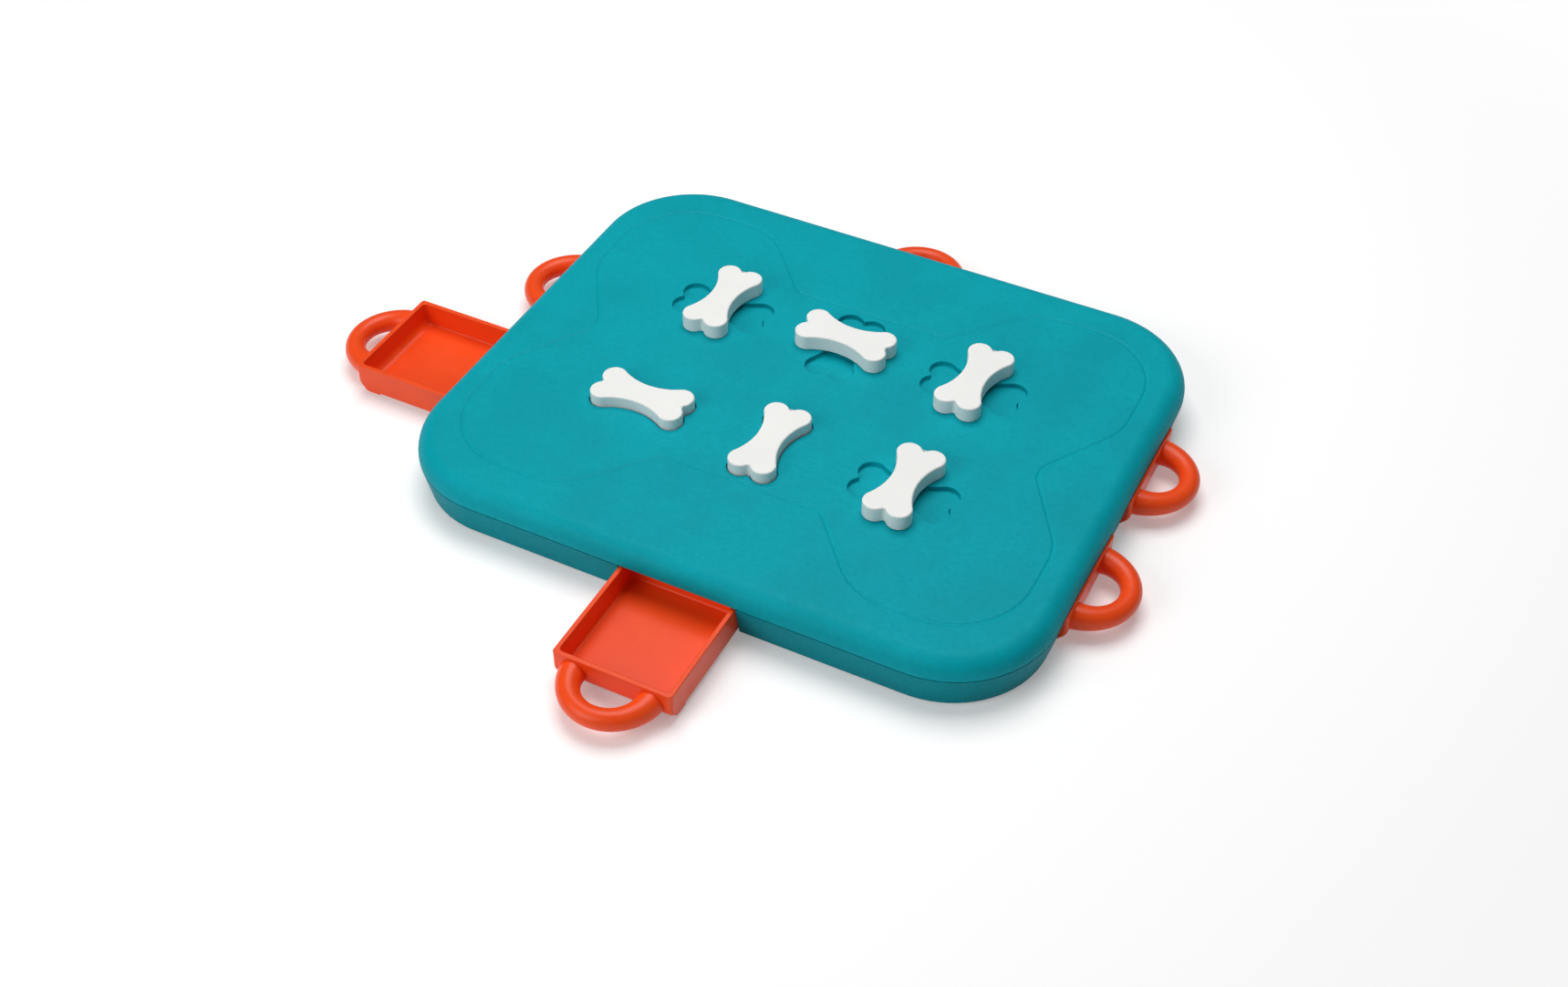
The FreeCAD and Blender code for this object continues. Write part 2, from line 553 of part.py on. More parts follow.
def make_drawer(name):
    """A drawer in one moulding: box, loop handle, and a tongue with lock gate and stop lugs."""
    body = new_body(name)
    side = Drawing(body, "side_view", plane="YZ_Plane")
    step = "drawer_base - front_step"
    side.outline([
        ("0", "rim_height"), ("0", step), ("front_length", step),
        ("front_length", "drawer_base"), ("drawer_length", "drawer_base"), ("drawer_length", "rim_height"),
    ])
    extrude(body, "Pad", side, "drawer_width", "box_block", both=True)
    half = "drawer_width / 2"
    round_edges(body, "front_bend", "front_round", lambda at, edge: near(at.y, "0") and near(at.z, step))
    round_edges(body, "front_corners", "1.8", lambda at, edge: (
        near(abs(at.x), half) and at.y < size("front_round") and at.z < size("rim_height") - 0.1
        and edge.Length > 2 and (near(at.y, "0") or at.z > size(step) + 0.1)
    ))
    inside = Drawing(body, "inside_plan", level="rim_height")
    inside.rounded(
        f"-({half}) + drawer_wall", f"{half} - drawer_wall", "drawer_wall", "drawer_length - drawer_wall", "2"
    )
    extrude(body, "Pocket", inside, "rim_height - drawer_base - drawer_floor", "compartment")
    floor = "drawer_base + drawer_floor"
    round_edges(body, "scoop_edge", "front_round - 2.4", lambda at, edge: (
        near(at.z, floor) and near(at.y, "drawer_wall") and edge.Length > 20
    ))
    tongue = Drawing(body, "tongue_plan", level="drawer_base")
    tongue.rectangle(f"-({half}) + 0.3", f"{half} - 0.3", "drawer_length - 1", "drawer_length + tongue_length")
    tongue.rounded("-13", "13", "drawer_length + 8", "drawer_length + 29", "4")
    extrude(body, "Pad", tongue, "tongue_thick", "tongue_plate")
    skirts = Drawing(body, "skirt_plan", level="drawer_base")
    for edge_out, edge_in in ((f"-({half}) + 0.3", f"-({half}) + 2.3"), (f"{half} - 2.3", f"{half} - 0.3")):
        skirts.rectangle(edge_out, edge_in, "drawer_length - 1", "drawer_length + tongue_length")
    extrude(body, "Pad", skirts, "skirt_high", "tongue_skirts")
    gate = Drawing(body, "gate_plan", level="drawer_base + 0.5")
    gate_end = "gate_start + gate_length"
    gate.rectangle("-gate_wide / 2", "-gate_slot / 2", "gate_start", gate_end)
    gate.rectangle("gate_slot / 2", "gate_wide / 2", "gate_start", gate_end)
    extrude(body, "Pad", gate, "gate_top - drawer_base - 0.5", "lock_gate")
    lugs = Drawing(body, "lug_plan", level="drawer_base + 0.5")
    lug_start = "drawer_length + tongue_length - lug_wide"
    lugs.rectangle("-lug_inner - lug_wide", "-lug_inner", lug_start, "drawer_length + tongue_length")
    lugs.rectangle("lug_inner", "lug_inner + lug_wide", lug_start, "drawer_length + tongue_length")
    extrude(body, "Pad", lugs, "lug_top - drawer_base - 0.5", "stop_lugs")
    bar = Drawing(body, "handle_section", plane="XZ_Plane", level="-1")
    bar.circle("handle_radius", "handle_height", "handle_bar")
    before = tip_volume(body)
    loop = body.newObject("PartDesign::Revolution", "handle_loop")
    loop.Profile = bar.sketch
    loop.ReferenceAxis = (bar.sketch, ["V_Axis"])
    loop.Angle = 180
    loop.Reversed = True
    if tip_volume(body) < before + 1000:
        raise ValueError(f"{name} has its handle inside")
    round_edges(body, "rim_edge", "0.4", lambda at, edge: (
        near(at.z, "rim_height") and at.y < size("drawer_length") + 0.1
    ), "Chamfer")
    frame, out = drawer_frame(name)
    if DRAWERS[name][2]:
        frame.Base = frame.Base + out * size("drawer_travel")
    body.Placement = frame
    return body


def bone_frame(name, below=0):
    """The placement of a bone, or of what hangs below it on its stem."""
    column, row, turn, dropped = BONES[name]
    level = size("board_top + seat_gap") - (size("recess_deep") if dropped else 0) + below
    place = Vector(column * size("column_pitch"), row * size("row_pitch"), level)
    return Placement(place, Rotation(Vector(0, 0, 1), turn))


def make_bone(name):
    """A bone with its stem, square at the end, bored for the cam's screw."""
    body = new_body(f"bone_{name}")
    plan = Drawing(body, "bone_plan")
    plan.bone()
    extrude(body, "Pad", plan, "bone_thick", "bone_block")
    round_edges(body, "top_edge", "bone_round", lambda at, edge: near(at.z, "bone_thick"), "Chamfer")
    stem_long = "(board_top - bush_end + seat_gap + 0.15)"
    stem = Drawing(body, "stem_plan", level="0.5")
    stem.circle("0", "0", "stem_diameter")
    extrude(body, "Pad", stem, f"{stem_long} + 0.5", "stem", reverse=True)
    end = Drawing(body, "spigot_plan", level=f"-{stem_long} + 0.5")
    end.rectangle("-spigot_wide / 2", "spigot_wide / 2", "-spigot_wide / 2", "spigot_wide / 2")
    extrude(body, "Pad", end, "0.5 + cam_thick - 1.2", "spigot", reverse=True)
    pilot = Drawing(body, "pilot_plan", level=f"-{stem_long} - cam_thick")
    pilot.circle("0", "0", "2.5")
    extrude(body, "Pocket", pilot, "10", "screw_pilot", reverse=True)
    body.Placement = bone_frame(name)
    return body


def make_cam(name):
    """The lock cam: a hub with two wings, keyed on the stem's square end."""
    body = new_body(f"cam_{name}")
    hub = Drawing(body, "hub_plan")
    hub.circle("0", "0", "cam_hub")
    extrude(body, "Pad", hub, "cam_thick", "hub")
    wings = Drawing(body, "wing_plan")
    reach = "cam_length / 2"
    wings.rounded(f"-{reach}", reach, "-cam_width / 2", "cam_width / 2", "cam_width / 2 - 0.4")
    extrude(body, "Pad", wings, "cam_thick", "wings")
    key = Drawing(body, "key_plan", level="cam_thick")
    key_half = "(spigot_wide / 2 + 0.05)"
    key.rectangle(f"-{key_half}", key_half, f"-{key_half}", key_half)
    extrude(body, "Pocket", key, "cam_thick - 1.1", "key_hole")
    way = Drawing(body, "way_plan", level="cam_thick")
    way.circle("0", "0", "2.7")
    extrude(body, "Pocket", way, "cam_thick + 1", "screw_way")
    frame = bone_frame(name, -size("board_top - bush_end + seat_gap + 0.15 + cam_thick"))
    body.Placement = frame
    return body


def make_cam_screw(name):
    """The small pan-head screw that holds a cam on its stem."""
    body = new_body(f"cam_screw_{name}")
    head = Drawing(body, "head_plan", level="-1.7")
    head.circle("0", "0", "5")
    extrude(body, "Pad", head, "1.7", "head")
    shank = Drawing(body, "shank_plan", level="-0.1")
    shank.circle("0", "0", "2.4")
    extrude(body, "Pad", shank, "9", "shank")
    round_edges(body, "head_edge", "0.5", lambda at, edge: near(at.z, "-1.7"), "Chamfer")
    slot = Drawing(body, "slot_plan", level="-1.7")
    slot.rectangle("-1.5", "1.5", "-0.35", "0.35")
    extrude(body, "Pocket", slot, "0.8", "driver_slot", reverse=True)
    body.Placement = bone_frame(name, -size("board_top - bush_end + seat_gap + 0.15 + cam_thick"))
    return body


def make_cover_screws():
    """Ten equal screws that join tray and cover, in one group of separate solids."""
    body = new_body("cover_screws")
    body.AllowCompound = True
    heads = draw_rounds(body, "head_plan", "6", "screw_diameter + 3", SCREW_PLACES)
    extrude(body, "Pad", heads, "1.95", "heads")
    shanks = draw_rounds(body, "shank_plan", "7.9", "screw_diameter", SCREW_PLACES)
    extrude(body, "Pad", shanks, "14", "shanks")
    round_edges(body, "head_edge", "0.5", lambda at, edge: near(at.z, "6"), "Chamfer")
    return body


def make_foot(name):
    """A rubber pad with a bevelled lower edge, set in the tray's underside."""
    body = new_body(name)
    plan = Drawing(body, "pad_plan")
    plan.circle("0", "0", "foot_diameter")
    extrude(body, "Pad", plan, "tray_base + foot_inset", "pad")
    round_edges(body, "bevelled_edge", "0.5", lambda at, edge: near(at.z, "0"), "Chamfer")
    x, y = FOOT_PLACES[name]
    body.Placement = Placement(Vector(x * size("board_width"), y * size("board_depth"), 0), Rotation())
    return body


def write_parts(bodies):
    """Check every object, then write one file for each sub-part."""
    doc.recompute()
    for thing in doc.Objects:
        if "Invalid" in thing.State or "Error" in thing.State:
            raise ValueError(f"{thing.Label} failed: {thing.State}")
    os.makedirs("parts", exist_ok=True)
    for body in bodies:
        shape = body.Shape
        if shape.isNull() or not shape.isValid():
            raise ValueError(f"{body.Label} has no valid shape")
        shape.exportStep(f"parts/{body.Label}.step")
        box = shape.BoundBox
        print(body.Label, len(shape.Solids), round(shape.Volume), [round(v, 2) for v in (
            box.XMin, box.XMax, box.YMin, box.YMax, box.ZMin, box.ZMax)])


def main():
    bodies = [make_tray(), make_cover(), make_cover_screws()]
    bodies += [make_foot(name) for name in FOOT_PLACES]
    bodies += [make_drawer(name) for name in DRAWERS]
    for name in BONES:
        bodies += [make_bone(name), make_cam(name), make_cam_screw(name)]
    write_parts(bodies)


main()
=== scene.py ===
import math

import bmesh
import bpy
import numpy as np
from mathutils import Matrix, Vector
from mathutils.geometry import delaunay_2d_cdt


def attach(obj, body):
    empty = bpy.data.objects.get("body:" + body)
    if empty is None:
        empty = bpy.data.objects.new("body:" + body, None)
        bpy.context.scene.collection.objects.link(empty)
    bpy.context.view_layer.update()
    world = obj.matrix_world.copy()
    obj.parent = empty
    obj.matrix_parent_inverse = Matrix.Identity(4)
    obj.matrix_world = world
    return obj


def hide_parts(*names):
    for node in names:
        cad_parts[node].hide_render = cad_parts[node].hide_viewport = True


bl_info = {
    "name": "Puzzle Board",
    "version": (1, 0, 0),
    "blender": (4, 5, 0),
    "location": "View3D > Sidebar > Puzzle",
    "description": "Dresses a puzzle board with its drawers, handles, bones and finishes",
    "category": "Object",
}

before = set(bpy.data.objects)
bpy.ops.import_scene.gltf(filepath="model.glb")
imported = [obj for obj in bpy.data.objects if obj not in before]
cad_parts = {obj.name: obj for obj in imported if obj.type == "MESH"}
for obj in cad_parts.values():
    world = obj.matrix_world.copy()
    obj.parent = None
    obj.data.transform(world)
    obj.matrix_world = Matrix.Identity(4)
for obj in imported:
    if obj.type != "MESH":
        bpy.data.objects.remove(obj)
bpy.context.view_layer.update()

MM = 0.001
HAIR = 0.1 * MM  # Keeps faces apart that would otherwise share a plane
LEAST_CORNER = 0.2 * MM  # Smallest plan radius that an outline is given
SAME_POINT = 1e-6  # Points nearer to each other than this, in metres, are made one
CUT_SLACK = 1e-7  # Tolerance in metres where a flat face is cut into triangles
PIXELS_WIDE = 1719  # Width of the full picture, which the focal length is given for

# Drawers: side of the board that they leave by in degrees, row, and whether they stand open
DRAWERS = {
    "drawer_front": (0, 0, True),
    "drawer_back": (180, 0, False),
    "drawer_left_front": (-90, -1, True),
    "drawer_left_back": (-90, 1, False),
    "drawer_right_front": (90, -1, False),
    "drawer_right_back": (90, 1, False),
}

# Bones: column, row, turn in degrees, whether dropped, and the small turn off square that play leaves
BONES = {
    "left_back": (-1, 1, 90, False, -0.6),
    "middle_back": (0, 1, 0, False, -2.5),
    "right_back": (1, 1, 90, False, -3.2),
    "left_front": (-1, -1, 0, True, 0),
    "middle_front": (0, -1, 90, True, 0),
    "right_front": (1, -1, 90, False, -0.5),
}

# Cover screws and feet, as shares of the board's width and depth from its middle
SCREW_PLACES = [
    (side * x, end * y)
    for x, y in ((0.395, 0.373), (0.173, 0.418)) for side in (-1, 1) for end in (-1, 1)
] + [(-0.13, 0), (0.13, 0)]
FOOT_PLACES = {
    "foot_centre": (0, 0),
    "foot_front_left": (-0.407, -0.313),
    "foot_front_right": (0.407, -0.313),
    "foot_back_left": (-0.407, 0.313),
    "foot_back_right": (0.407, 0.313),
}

# Soft boxes: the property that holds the power, the side of the square, and the place in metres
LAMPS = {
    "overhead_box": ("key_power", 0.9, (-0.15, 0.3, 1.25)),
    "front_box": ("front_power", 0.9, (-0.6, -1.15, 0.75)),
}


def length_of(name, amount, about):
    """A length property, given in millimetres."""
    return bpy.props.FloatProperty(
        name=name, description=about, default=amount * MM, min=0, precision=5,
        subtype="DISTANCE", unit="LENGTH")


def colour_of(name, rgb, about):
    """A colour property, given as display values from 0 to 255."""
    def linear(value):
        value /= 255
        return value / 12.92 if value <= 0.04045 else ((value + 0.055) / 1.055) ** 2.4
    return bpy.props.FloatVectorProperty(
        name=name, description=about, size=4, subtype="COLOR", min=0, max=1,
        default=tuple(linear(value) for value in rgb) + (1,))


def share_of(name, amount, about):
    """A property between 0 and 1."""
    return bpy.props.FloatProperty(
        name=name, description=about, default=amount, min=0, max=1, subtype="FACTOR")


def angle_of(name, degrees, about):
    """An angle property, given in degrees."""
    return bpy.props.FloatProperty(
        name=name, description=about, default=math.radians(degrees), subtype="ANGLE")


def group_of(kind, name, about):
    """A property that holds a group of properties."""
    return bpy.props.PointerProperty(type=kind, name=name, description=about)


class PUZZLE_PG_board(bpy.types.PropertyGroup):
    width: length_of("Width", 324, "Outside width of the board at the joint")
    depth: length_of("Depth", 268, "Outside depth of the board at the joint")
    corner: length_of("Corner", 51, "Plan radius of the corners")
    top: length_of("Top", 29.5, "Height of the top face over the table")
    joint: length_of("Joint", 19, "Height of the joint between the two shells")
    edge: length_of("Edge", 9.5, "Soft rounding round the top")
    wall: length_of("Wall", 2.5, "Wall of the moulded cover")
    lip: length_of("Lip", 0.35, "Small rounding of the cover's lower edge")
    column: length_of("Columns", 69.4, "From the middle to the outer bone columns")
    row: length_of("Rows", 41.4, "From the middle to the bone rows")
    recess_gap: length_of("Recess room", 0.7, "Room round a bone in its recess")
    recess_deep: length_of("Recess depth", 2.5, "Depth of a recess")
    recess_rim: length_of("Recess rim", 0.4, "Rounding of a recess's rim")
    recess_foot: length_of("Recess foot", 0.3, "Rounding at the foot of a recess's wall")
    pad_wide: length_of("Pad width", 2, "How far the pad under a recess reaches past it")
    pad_deep: length_of("Pad depth", 2.2, "Thickness of the pad under a recess")
    boss: length_of("Boss", 9.4, "Diameter of a screw boss")
    pilot: length_of("Pilot hole", 3, "Diameter of the hole in a screw boss")
    boss_end: length_of("Boss end", 12, "Height of a boss's lower end")
    screw_low: length_of("Screw height", 6, "Height of a cover screw's lower face")
    groove_wide: length_of("Groove width", 2.6, "Width of the ornamental groove")
    groove_deep: length_of("Groove depth", 0.42, "Depth of the ornamental groove")


class PUZZLE_PG_bones(bpy.types.PropertyGroup):
    length: length_of("Length", 49.5, "Length of a bone")
    width: length_of("Width", 24.2, "Width over the lobes")
    lobe: length_of("Lobe", 6.15, "Radius of the lobes")
    waist: length_of("Waist", 13.7, "Width of the waist")
    notch: length_of("Notch", 1.3, "Inside radius between two lobes")
    thick: length_of("Thickness", 8.2, "Thickness of a bone")
    edge: length_of("Top edge", 0.9, "Rounding of the top edge")
    foot: length_of("Lower edge", 0.4, "Rounding of the lower edge")
    stem: length_of("Stem", 7.9, "Diameter of the stem")
    bore: length_of("Bore", 8, "Diameter of the bore that the stem turns in")
    bush: length_of("Bush", 15, "Diameter of the bush round the bore")
    bush_end: length_of("Bush end", 22, "Height of the bush's lower end")
    stem_past: length_of("Stem past bush", 0.25, "How far the stem comes out of the bush")
    key: length_of("Key", 5, "Side of the stem's square end")
    key_length: length_of("Key length", 2.8, "Length of the square end below the stem")
    key_root: length_of("Key root", 0.5, "How far the square end reaches up into the stem")


class PUZZLE_PG_drawers(bpy.types.PropertyGroup):
    width: length_of("Width", 59.5, "Outside width of a drawer")
    length: length_of("Length", 68, "Outside length of a drawer's box")
    wall: length_of("Wall", 2.4, "Wall of a drawer")
    base: length_of("Base", 3.4, "Height of the underside over the table")
    floor: length_of("Floor", 1.9, "Floor of a drawer")
    rim: length_of("Rim", 18.2, "Height of the rim over the table")
    rim_edge: length_of("Rim edge", 0.55, "Rounding of the rim")
    step: length_of("Step", 0.8, "How much lower the front part is")
    step_end: length_of("Step end", 12, "Length of the lower front part")
    front: length_of("Front round", 6.5, "Large round under the front")
    corner: length_of("Front corner", 1.8, "Plan radius of the front corners")
    inside: length_of("Inside corner", 2, "Plan radius of the inside corners")
    proud: length_of("Proud", 1.2, "How far a closed drawer stands out")
    travel: length_of("Travel", 56, "Travel of a drawer")
    tongue: length_of("Tongue", 38.5, "Length of the tongue behind the box")
    loop: length_of("Handle loop", 19.3, "Radius of the handle's centre line")
    bar: length_of("Handle bar", 10.4, "Diameter of the handle bar")
    bar_height: length_of("Handle height", 10.2, "Height of the handle's middle")
    bar_in: length_of("Handle root", 1, "How deep the handle's ends sit in the front wall")
    back_corner: length_of("Back corner", 0.6, "Plan radius of the box's back corners")
    floor_round: length_of("Floor round", 1.1, "Inside radius between floor and walls")
    toe_edge: length_of("Toe edge", 0.3, "Edge under the lower front part")
    small_edge: length_of("Small edges", 0.25, "Rounding of the underside and of the tongue's ribs")
    small_corner: length_of("Small corners", 0.4, "Plan radius of the tongue's ribs")
    tongue_in: length_of("Tongue inset", 0.3, "How much narrower the tongue is, on each side")
    tongue_root: length_of("Tongue root", 1, "How far the tongue reaches into the box's back")
    tongue_thick: length_of("Tongue thickness", 2, "Thickness of the tongue's plate")
    tongue_corner: length_of("Tongue corner", 0.5, "Plan radius of the tongue's corners")
    window_wide: length_of("Window width", 26, "Width of the window in the tongue")
    window_start: length_of("Window start", 75, "From the drawer's face to the window")
    window_end: length_of("Window end", 94, "From the drawer's face to the window's end")
    window_corner: length_of("Window corner", 4, "Plan radius of the window's corners")
    rail: length_of("Rail", 2, "Width of the tongue's side rails")
    rail_rise: length_of("Rail height", 7, "Height of the side rails over the underside")
    rib_foot: length_of("Rib foot", 0.5, "How far over the underside gate and stops begin")
    gate_start: length_of("Gate start", 97.3, "From the drawer's face to its lock gate")
    gate_length: length_of("Gate length", 4, "Length of the gate posts")
    gate_slot: length_of("Gate slot", 10.4, "Slot between the gate posts")
    gate_wide: length_of("Gate width", 19.6, "Width over the gate posts")
    gate_top: length_of("Gate top", 17.5, "Height of the gate posts over the table")
    stop_slot: length_of("Stop slot", 42, "Slot between the stop lugs")
    stop_wide: length_of("Stop width", 50, "Width over the stop lugs")
    stop_length: length_of("Stop length", 4, "Length of the stop lugs")
    stop_top: length_of("Stop top", 24.5, "Height of the stop lugs over the table")


class PUZZLE_PG_finish(bpy.types.PropertyGroup):
    cover: colour_of("Cover", (0, 164, 178), "Teal composite of the upper shell")
    # Tray: the cover's teal composite made darker, painted shade for the lower band under the board's edge
    tray: colour_of("Tray", (0, 140, 153), "Teal composite of the lower shell")
    drawer: colour_of("Drawer", (255, 80, 24), "Orange-red plastic of drawers and handles")
    bone: colour_of("Bone", (250, 250, 247), "White plastic of the bones")
    cam: colour_of("Cam", (226, 224, 214), "Natural plastic of the lock cams")
    screw: colour_of("Screw", (176, 178, 180), "Plated steel of the screws")
    foot: colour_of("Foot", (44, 47, 48), "Dark rubber of the feet")
    mottle: share_of("Mottle", 0.62, "Strength of the fibre mottling in the composite")
    cover_rough: share_of("Composite roughness", 0.56, "Roughness of the composite")
    drawer_rough: share_of("Drawer roughness", 0.35, "Roughness of the drawers")


class PUZZLE_PG_stage(bpy.types.PropertyGroup):
    azimuth: angle_of("Azimuth", 26.53, "Camera's turn round the object")
    elevation: angle_of("Elevation", 43.55, "Camera's height angle")
    roll: angle_of("Roll", 0.43, "Camera's lean")
    distance: length_of("Distance", 949.7, "From the camera to the point that it turns about")
    aim_x: bpy.props.FloatProperty(
        name="Aim X", description="Point looked at", default=0.00677, subtype="DISTANCE")
    aim_y: bpy.props.FloatProperty(
        name="Aim Y", description="Point looked at", default=-0.0398, subtype="DISTANCE")
    focal_pixels: bpy.props.FloatProperty(
        name="Focal length", description="In pixels of the full picture", default=2155.5, min=1)
    key_power: bpy.props.FloatProperty(
        name="Key light", description="Overhead soft box, in watts", default=12, min=0)
    front_power: bpy.props.FloatProperty(
        name="Front light", description="Front left soft box, in watts", default=8, min=0)
    sky: share_of("Sky", 0.16, "Strength of the light from all round")
    floor: share_of("Floor", 0.92, "Grey value of the floor")
    floor_glow: share_of("Floor white", 0.25, "White that the camera sees over the lit floor")
    floor_near: length_of("Lit floor", 330, "Distance at which the lit floor starts to give way to white")
    floor_far: length_of("White floor", 700, "Distance from which the camera sees plain white")
    floor_reach: length_of("Floor reach", 6000, "From the middle of the floor to its edges")


class PUZZLE_PG_all(bpy.types.PropertyGroup):
    board: group_of(PUZZLE_PG_board, "Board", "Sizes of the two shells")
    bones: group_of(PUZZLE_PG_bones, "Bones", "Sizes of the bones")
    drawers: group_of(PUZZLE_PG_drawers, "Drawers", "Sizes of the drawers")
    finish: group_of(PUZZLE_PG_finish, "Finish", "Colours and surfaces")
    stage: group_of(PUZZLE_PG_stage, "Stage", "Camera, light and floor")


# Shaders


def add_node(tree, kind, settings=None, values=None, output=0):
    """Adds a node to a tree and gives one of its outputs. Values that are sockets are linked."""
    made = tree.nodes.new(kind)
    for name, value in (settings or {}).items():
        setattr(made, name, value)
    for key, value in (values or {}).items():
        socket = made.inputs[key]
        if isinstance(value, bpy.types.NodeSocket):
            tree.links.new(value, socket)
        else:
            socket.default_value = value
    return made.outputs[output] if made.outputs else None


class Wire:
    """A socket that takes part in sums and products, each of which adds a Math node."""

    def __init__(self, shader, end):
        self.shader = shader
        self.end = end

    def sum(self, operation, other):
        return self.shader.node("ShaderNodeMath", {"operation": operation}, {0: self, 1: other})

    def __add__(self, other):
        return self.sum("ADD", other)

    def __mul__(self, other):
        return self.sum("MULTIPLY", other)

    def over(self, low, high):
        """0 up to low, 1 from high on, and a smooth step between them."""
        return self.shader.node(
            "ShaderNodeMapRange", {"interpolation_type": "SMOOTHSTEP"},
            {"Value": self, "From Min": low, "From Max": high})


class Shader:
    """A material in the making."""

    def __init__(self, name):
        self.material = bpy.data.materials.new(name)
        self.material.use_nodes = True
        self.tree = self.material.node_tree
        self.tree.nodes.clear()
        self.place = self.node("ShaderNodeTexCoord", output="Object")

    def node(self, kind, settings=None, values=None, output=0):
        ends = {key: value.end if isinstance(value, Wire) else value for key, value in (values or {}).items()}
        return Wire(self, add_node(self.tree, kind, settings, ends, output))

    def noise(self, scale, detail=2.0, rough=0.5, stretch=None):
        """Noise on the object's own coordinates, with about so many cells to a metre."""
        place = self.place
        if stretch:
            place = self.node("ShaderNodeMapping", values={"Vector": place, "Scale": stretch})
        return self.node("ShaderNodeTexNoise", values={
            "Vector": place, "Scale": scale, "Detail": detail, "Roughness": rough})

    def blend(self, factor, one, two):
        """Colours one and two mixed. The Mix node keeps its colour sockets at 6 and 7."""
        return self.node(
            "ShaderNodeMix", {"data_type": "RGBA"}, {0: factor, 6: one, 7: two}, output=2)

    def bump(self, height, strength, distance, after=None):
        """A normal raised by a height, over an earlier normal where one is given."""
        values = {"Height": height, "Strength": strength, "Distance": distance}
        if after is not None:
            values["Normal"] = after
        return self.node("ShaderNodeBump", values=values)

    def finish(self, **values):
        """Ends in a Principled shader. Names are sockets with underscores for spaces."""
        named = {name.replace("_", " "): value for name, value in values.items()}
        surface = self.node("ShaderNodeBsdfPrincipled", values=named)
        self.end(surface)
        return self.material

    def end(self, surface):
        self.node("ShaderNodeOutputMaterial", values={"Surface": surface})


def shade(colour, factor, lift=(0, 0, 0)):
    """A colour made paler by a lift for each channel, then lighter or darker."""
    return tuple(min(1, (part + more) * factor) for part, more in zip(colour[:3], lift)) + (1,)


def composite(name, colour, finish):
    """Wood-plastic composite: a matte body with fine fibre flecks and a soft cloudiness."""
    s = Shader(name)
    cloud = s.noise(26, 3, 0.6).over(0.32, 0.68)
    fleck = s.noise(420, 2, 0.6, (1, 1.35, 1)).over(0.35, 0.72)
    speck = s.noise(1500, 1, 0.5).over(0.62, 0.75)
    swing = 0.09 * finish.mottle
    body = s.blend(cloud, shade(colour, 1 - swing), shade(colour, 1 + swing))
    body = s.blend(fleck * (0.5 * finish.mottle), body, shade(colour, 0.8))
    body = s.blend(speck * (0.3 * finish.mottle), body, shade(colour, 1.2, (0.01, 0.03, 0.03)))
    rough = cloud * 0.06 + fleck * 0.07 + (finish.cover_rough - 0.06)
    grain = s.bump(s.noise(900, 2, 0.6), 0.16, 0.2 * MM)
    normal = s.bump(s.noise(60, 2, 0.5), 0.05, 0.8 * MM, grain)
    return s.finish(Base_Color=body, Roughness=rough, Normal=normal, IOR=1.47, Specular_IOR_Level=0.1)


def moulded(name, colour, rough, cloud=0.05, grain=0.06, gloss=0.5):
    """Injection-moulded plastic: faint flow clouds, spark-eroded grain and small handling marks."""
    s = Shader(name)
    flow = s.noise(34, 2, 0.55, (1, 1, 1.8)).over(0.3, 0.7)
    rub = s.noise(210, 3, 0.65).over(0.5, 0.72)
    body = s.blend(flow, shade(colour, 1 - cloud), shade(colour, 1 + cloud))
    body = s.blend(rub * 0.12, body, shade(colour, 1.06, (0.03, 0.03, 0.03)))
    surface = flow * 0.05 + rub * 0.08 + (rough - 0.05)
    fine = s.bump(s.noise(1400, 1, 0.5), grain, 0.1 * MM)
    normal = s.bump(s.noise(45, 1, 0.5), 0.03, 0.8 * MM, fine)
    return s.finish(Base_Color=body, Roughness=surface, Normal=normal, IOR=1.5, Specular_IOR_Level=gloss)


def steel(name, colour):
    """Plated steel with fine streaks along Z, a little dulled in places."""
    s = Shader(name)
    brushed = s.noise(700, 2, 0.6, (1, 1, 0.15))
    dull = s.noise(180, 2, 0.5).over(0.4, 0.7)
    body = s.blend(dull, shade(colour, 1.05), shade(colour, 0.8))
    return s.finish(
        Base_Color=body, Metallic=1.0, Roughness=brushed * 0.15 + dull * 0.1 + 0.22,
        Normal=s.bump(brushed, 0.08, 0.1 * MM))


def rubber(name, colour):
    """Matte rubber with dust on it."""
    s = Shader(name)
    dust = s.noise(120, 3, 0.6).over(0.45, 0.75)
    body = s.blend(dust * 0.5, colour, shade(colour, 1.4, (0.02, 0.02, 0.02)))
    return s.finish(
        Base_Color=body, Roughness=dust * 0.1 + 0.74,
        Normal=s.bump(s.noise(800, 2, 0.6), 0.25, 0.2 * MM),
        Specular_IOR_Level=0.3)


def material(slot):
    """The finish for a slot, made the first time that it is asked for."""
    name = f"{slot}_finish"
    found = bpy.data.materials.get(name)
    if found:
        return found
    finish = bpy.context.scene.puzzle.finish
    makers = {
        "cover_composite": lambda: composite(name, finish.cover, finish),
        # The lower shell's composite, in its darker teal that paints in shade
        "tray_composite": lambda: composite(name, finish.tray, finish),
        "drawer_plastic": lambda: moulded(name, finish.drawer, finish.drawer_rough, gloss=0.3),
        "bone_plastic": lambda: moulded(name, finish.bone, rough=0.46, cloud=0.012, grain=0.05, gloss=0.42),
        "cam_plastic": lambda: moulded(name, finish.cam, rough=0.5, cloud=0.03),
        "screw_steel": lambda: steel(name, finish.screw),
        "foot_rubber": lambda: rubber(name, finish.foot),
    }
    return makers[slot]()


# Outlines and lofts


def arc_points(centre, radius, start, end, count):
    """Points along an arc, both ends included."""
    cx, cy = centre
    return [
        (cx + radius * math.cos(start + (end - start) * step / count),
         cy + radius * math.sin(start + (end - start) * step / count))
        for step in range(count + 1)
    ]


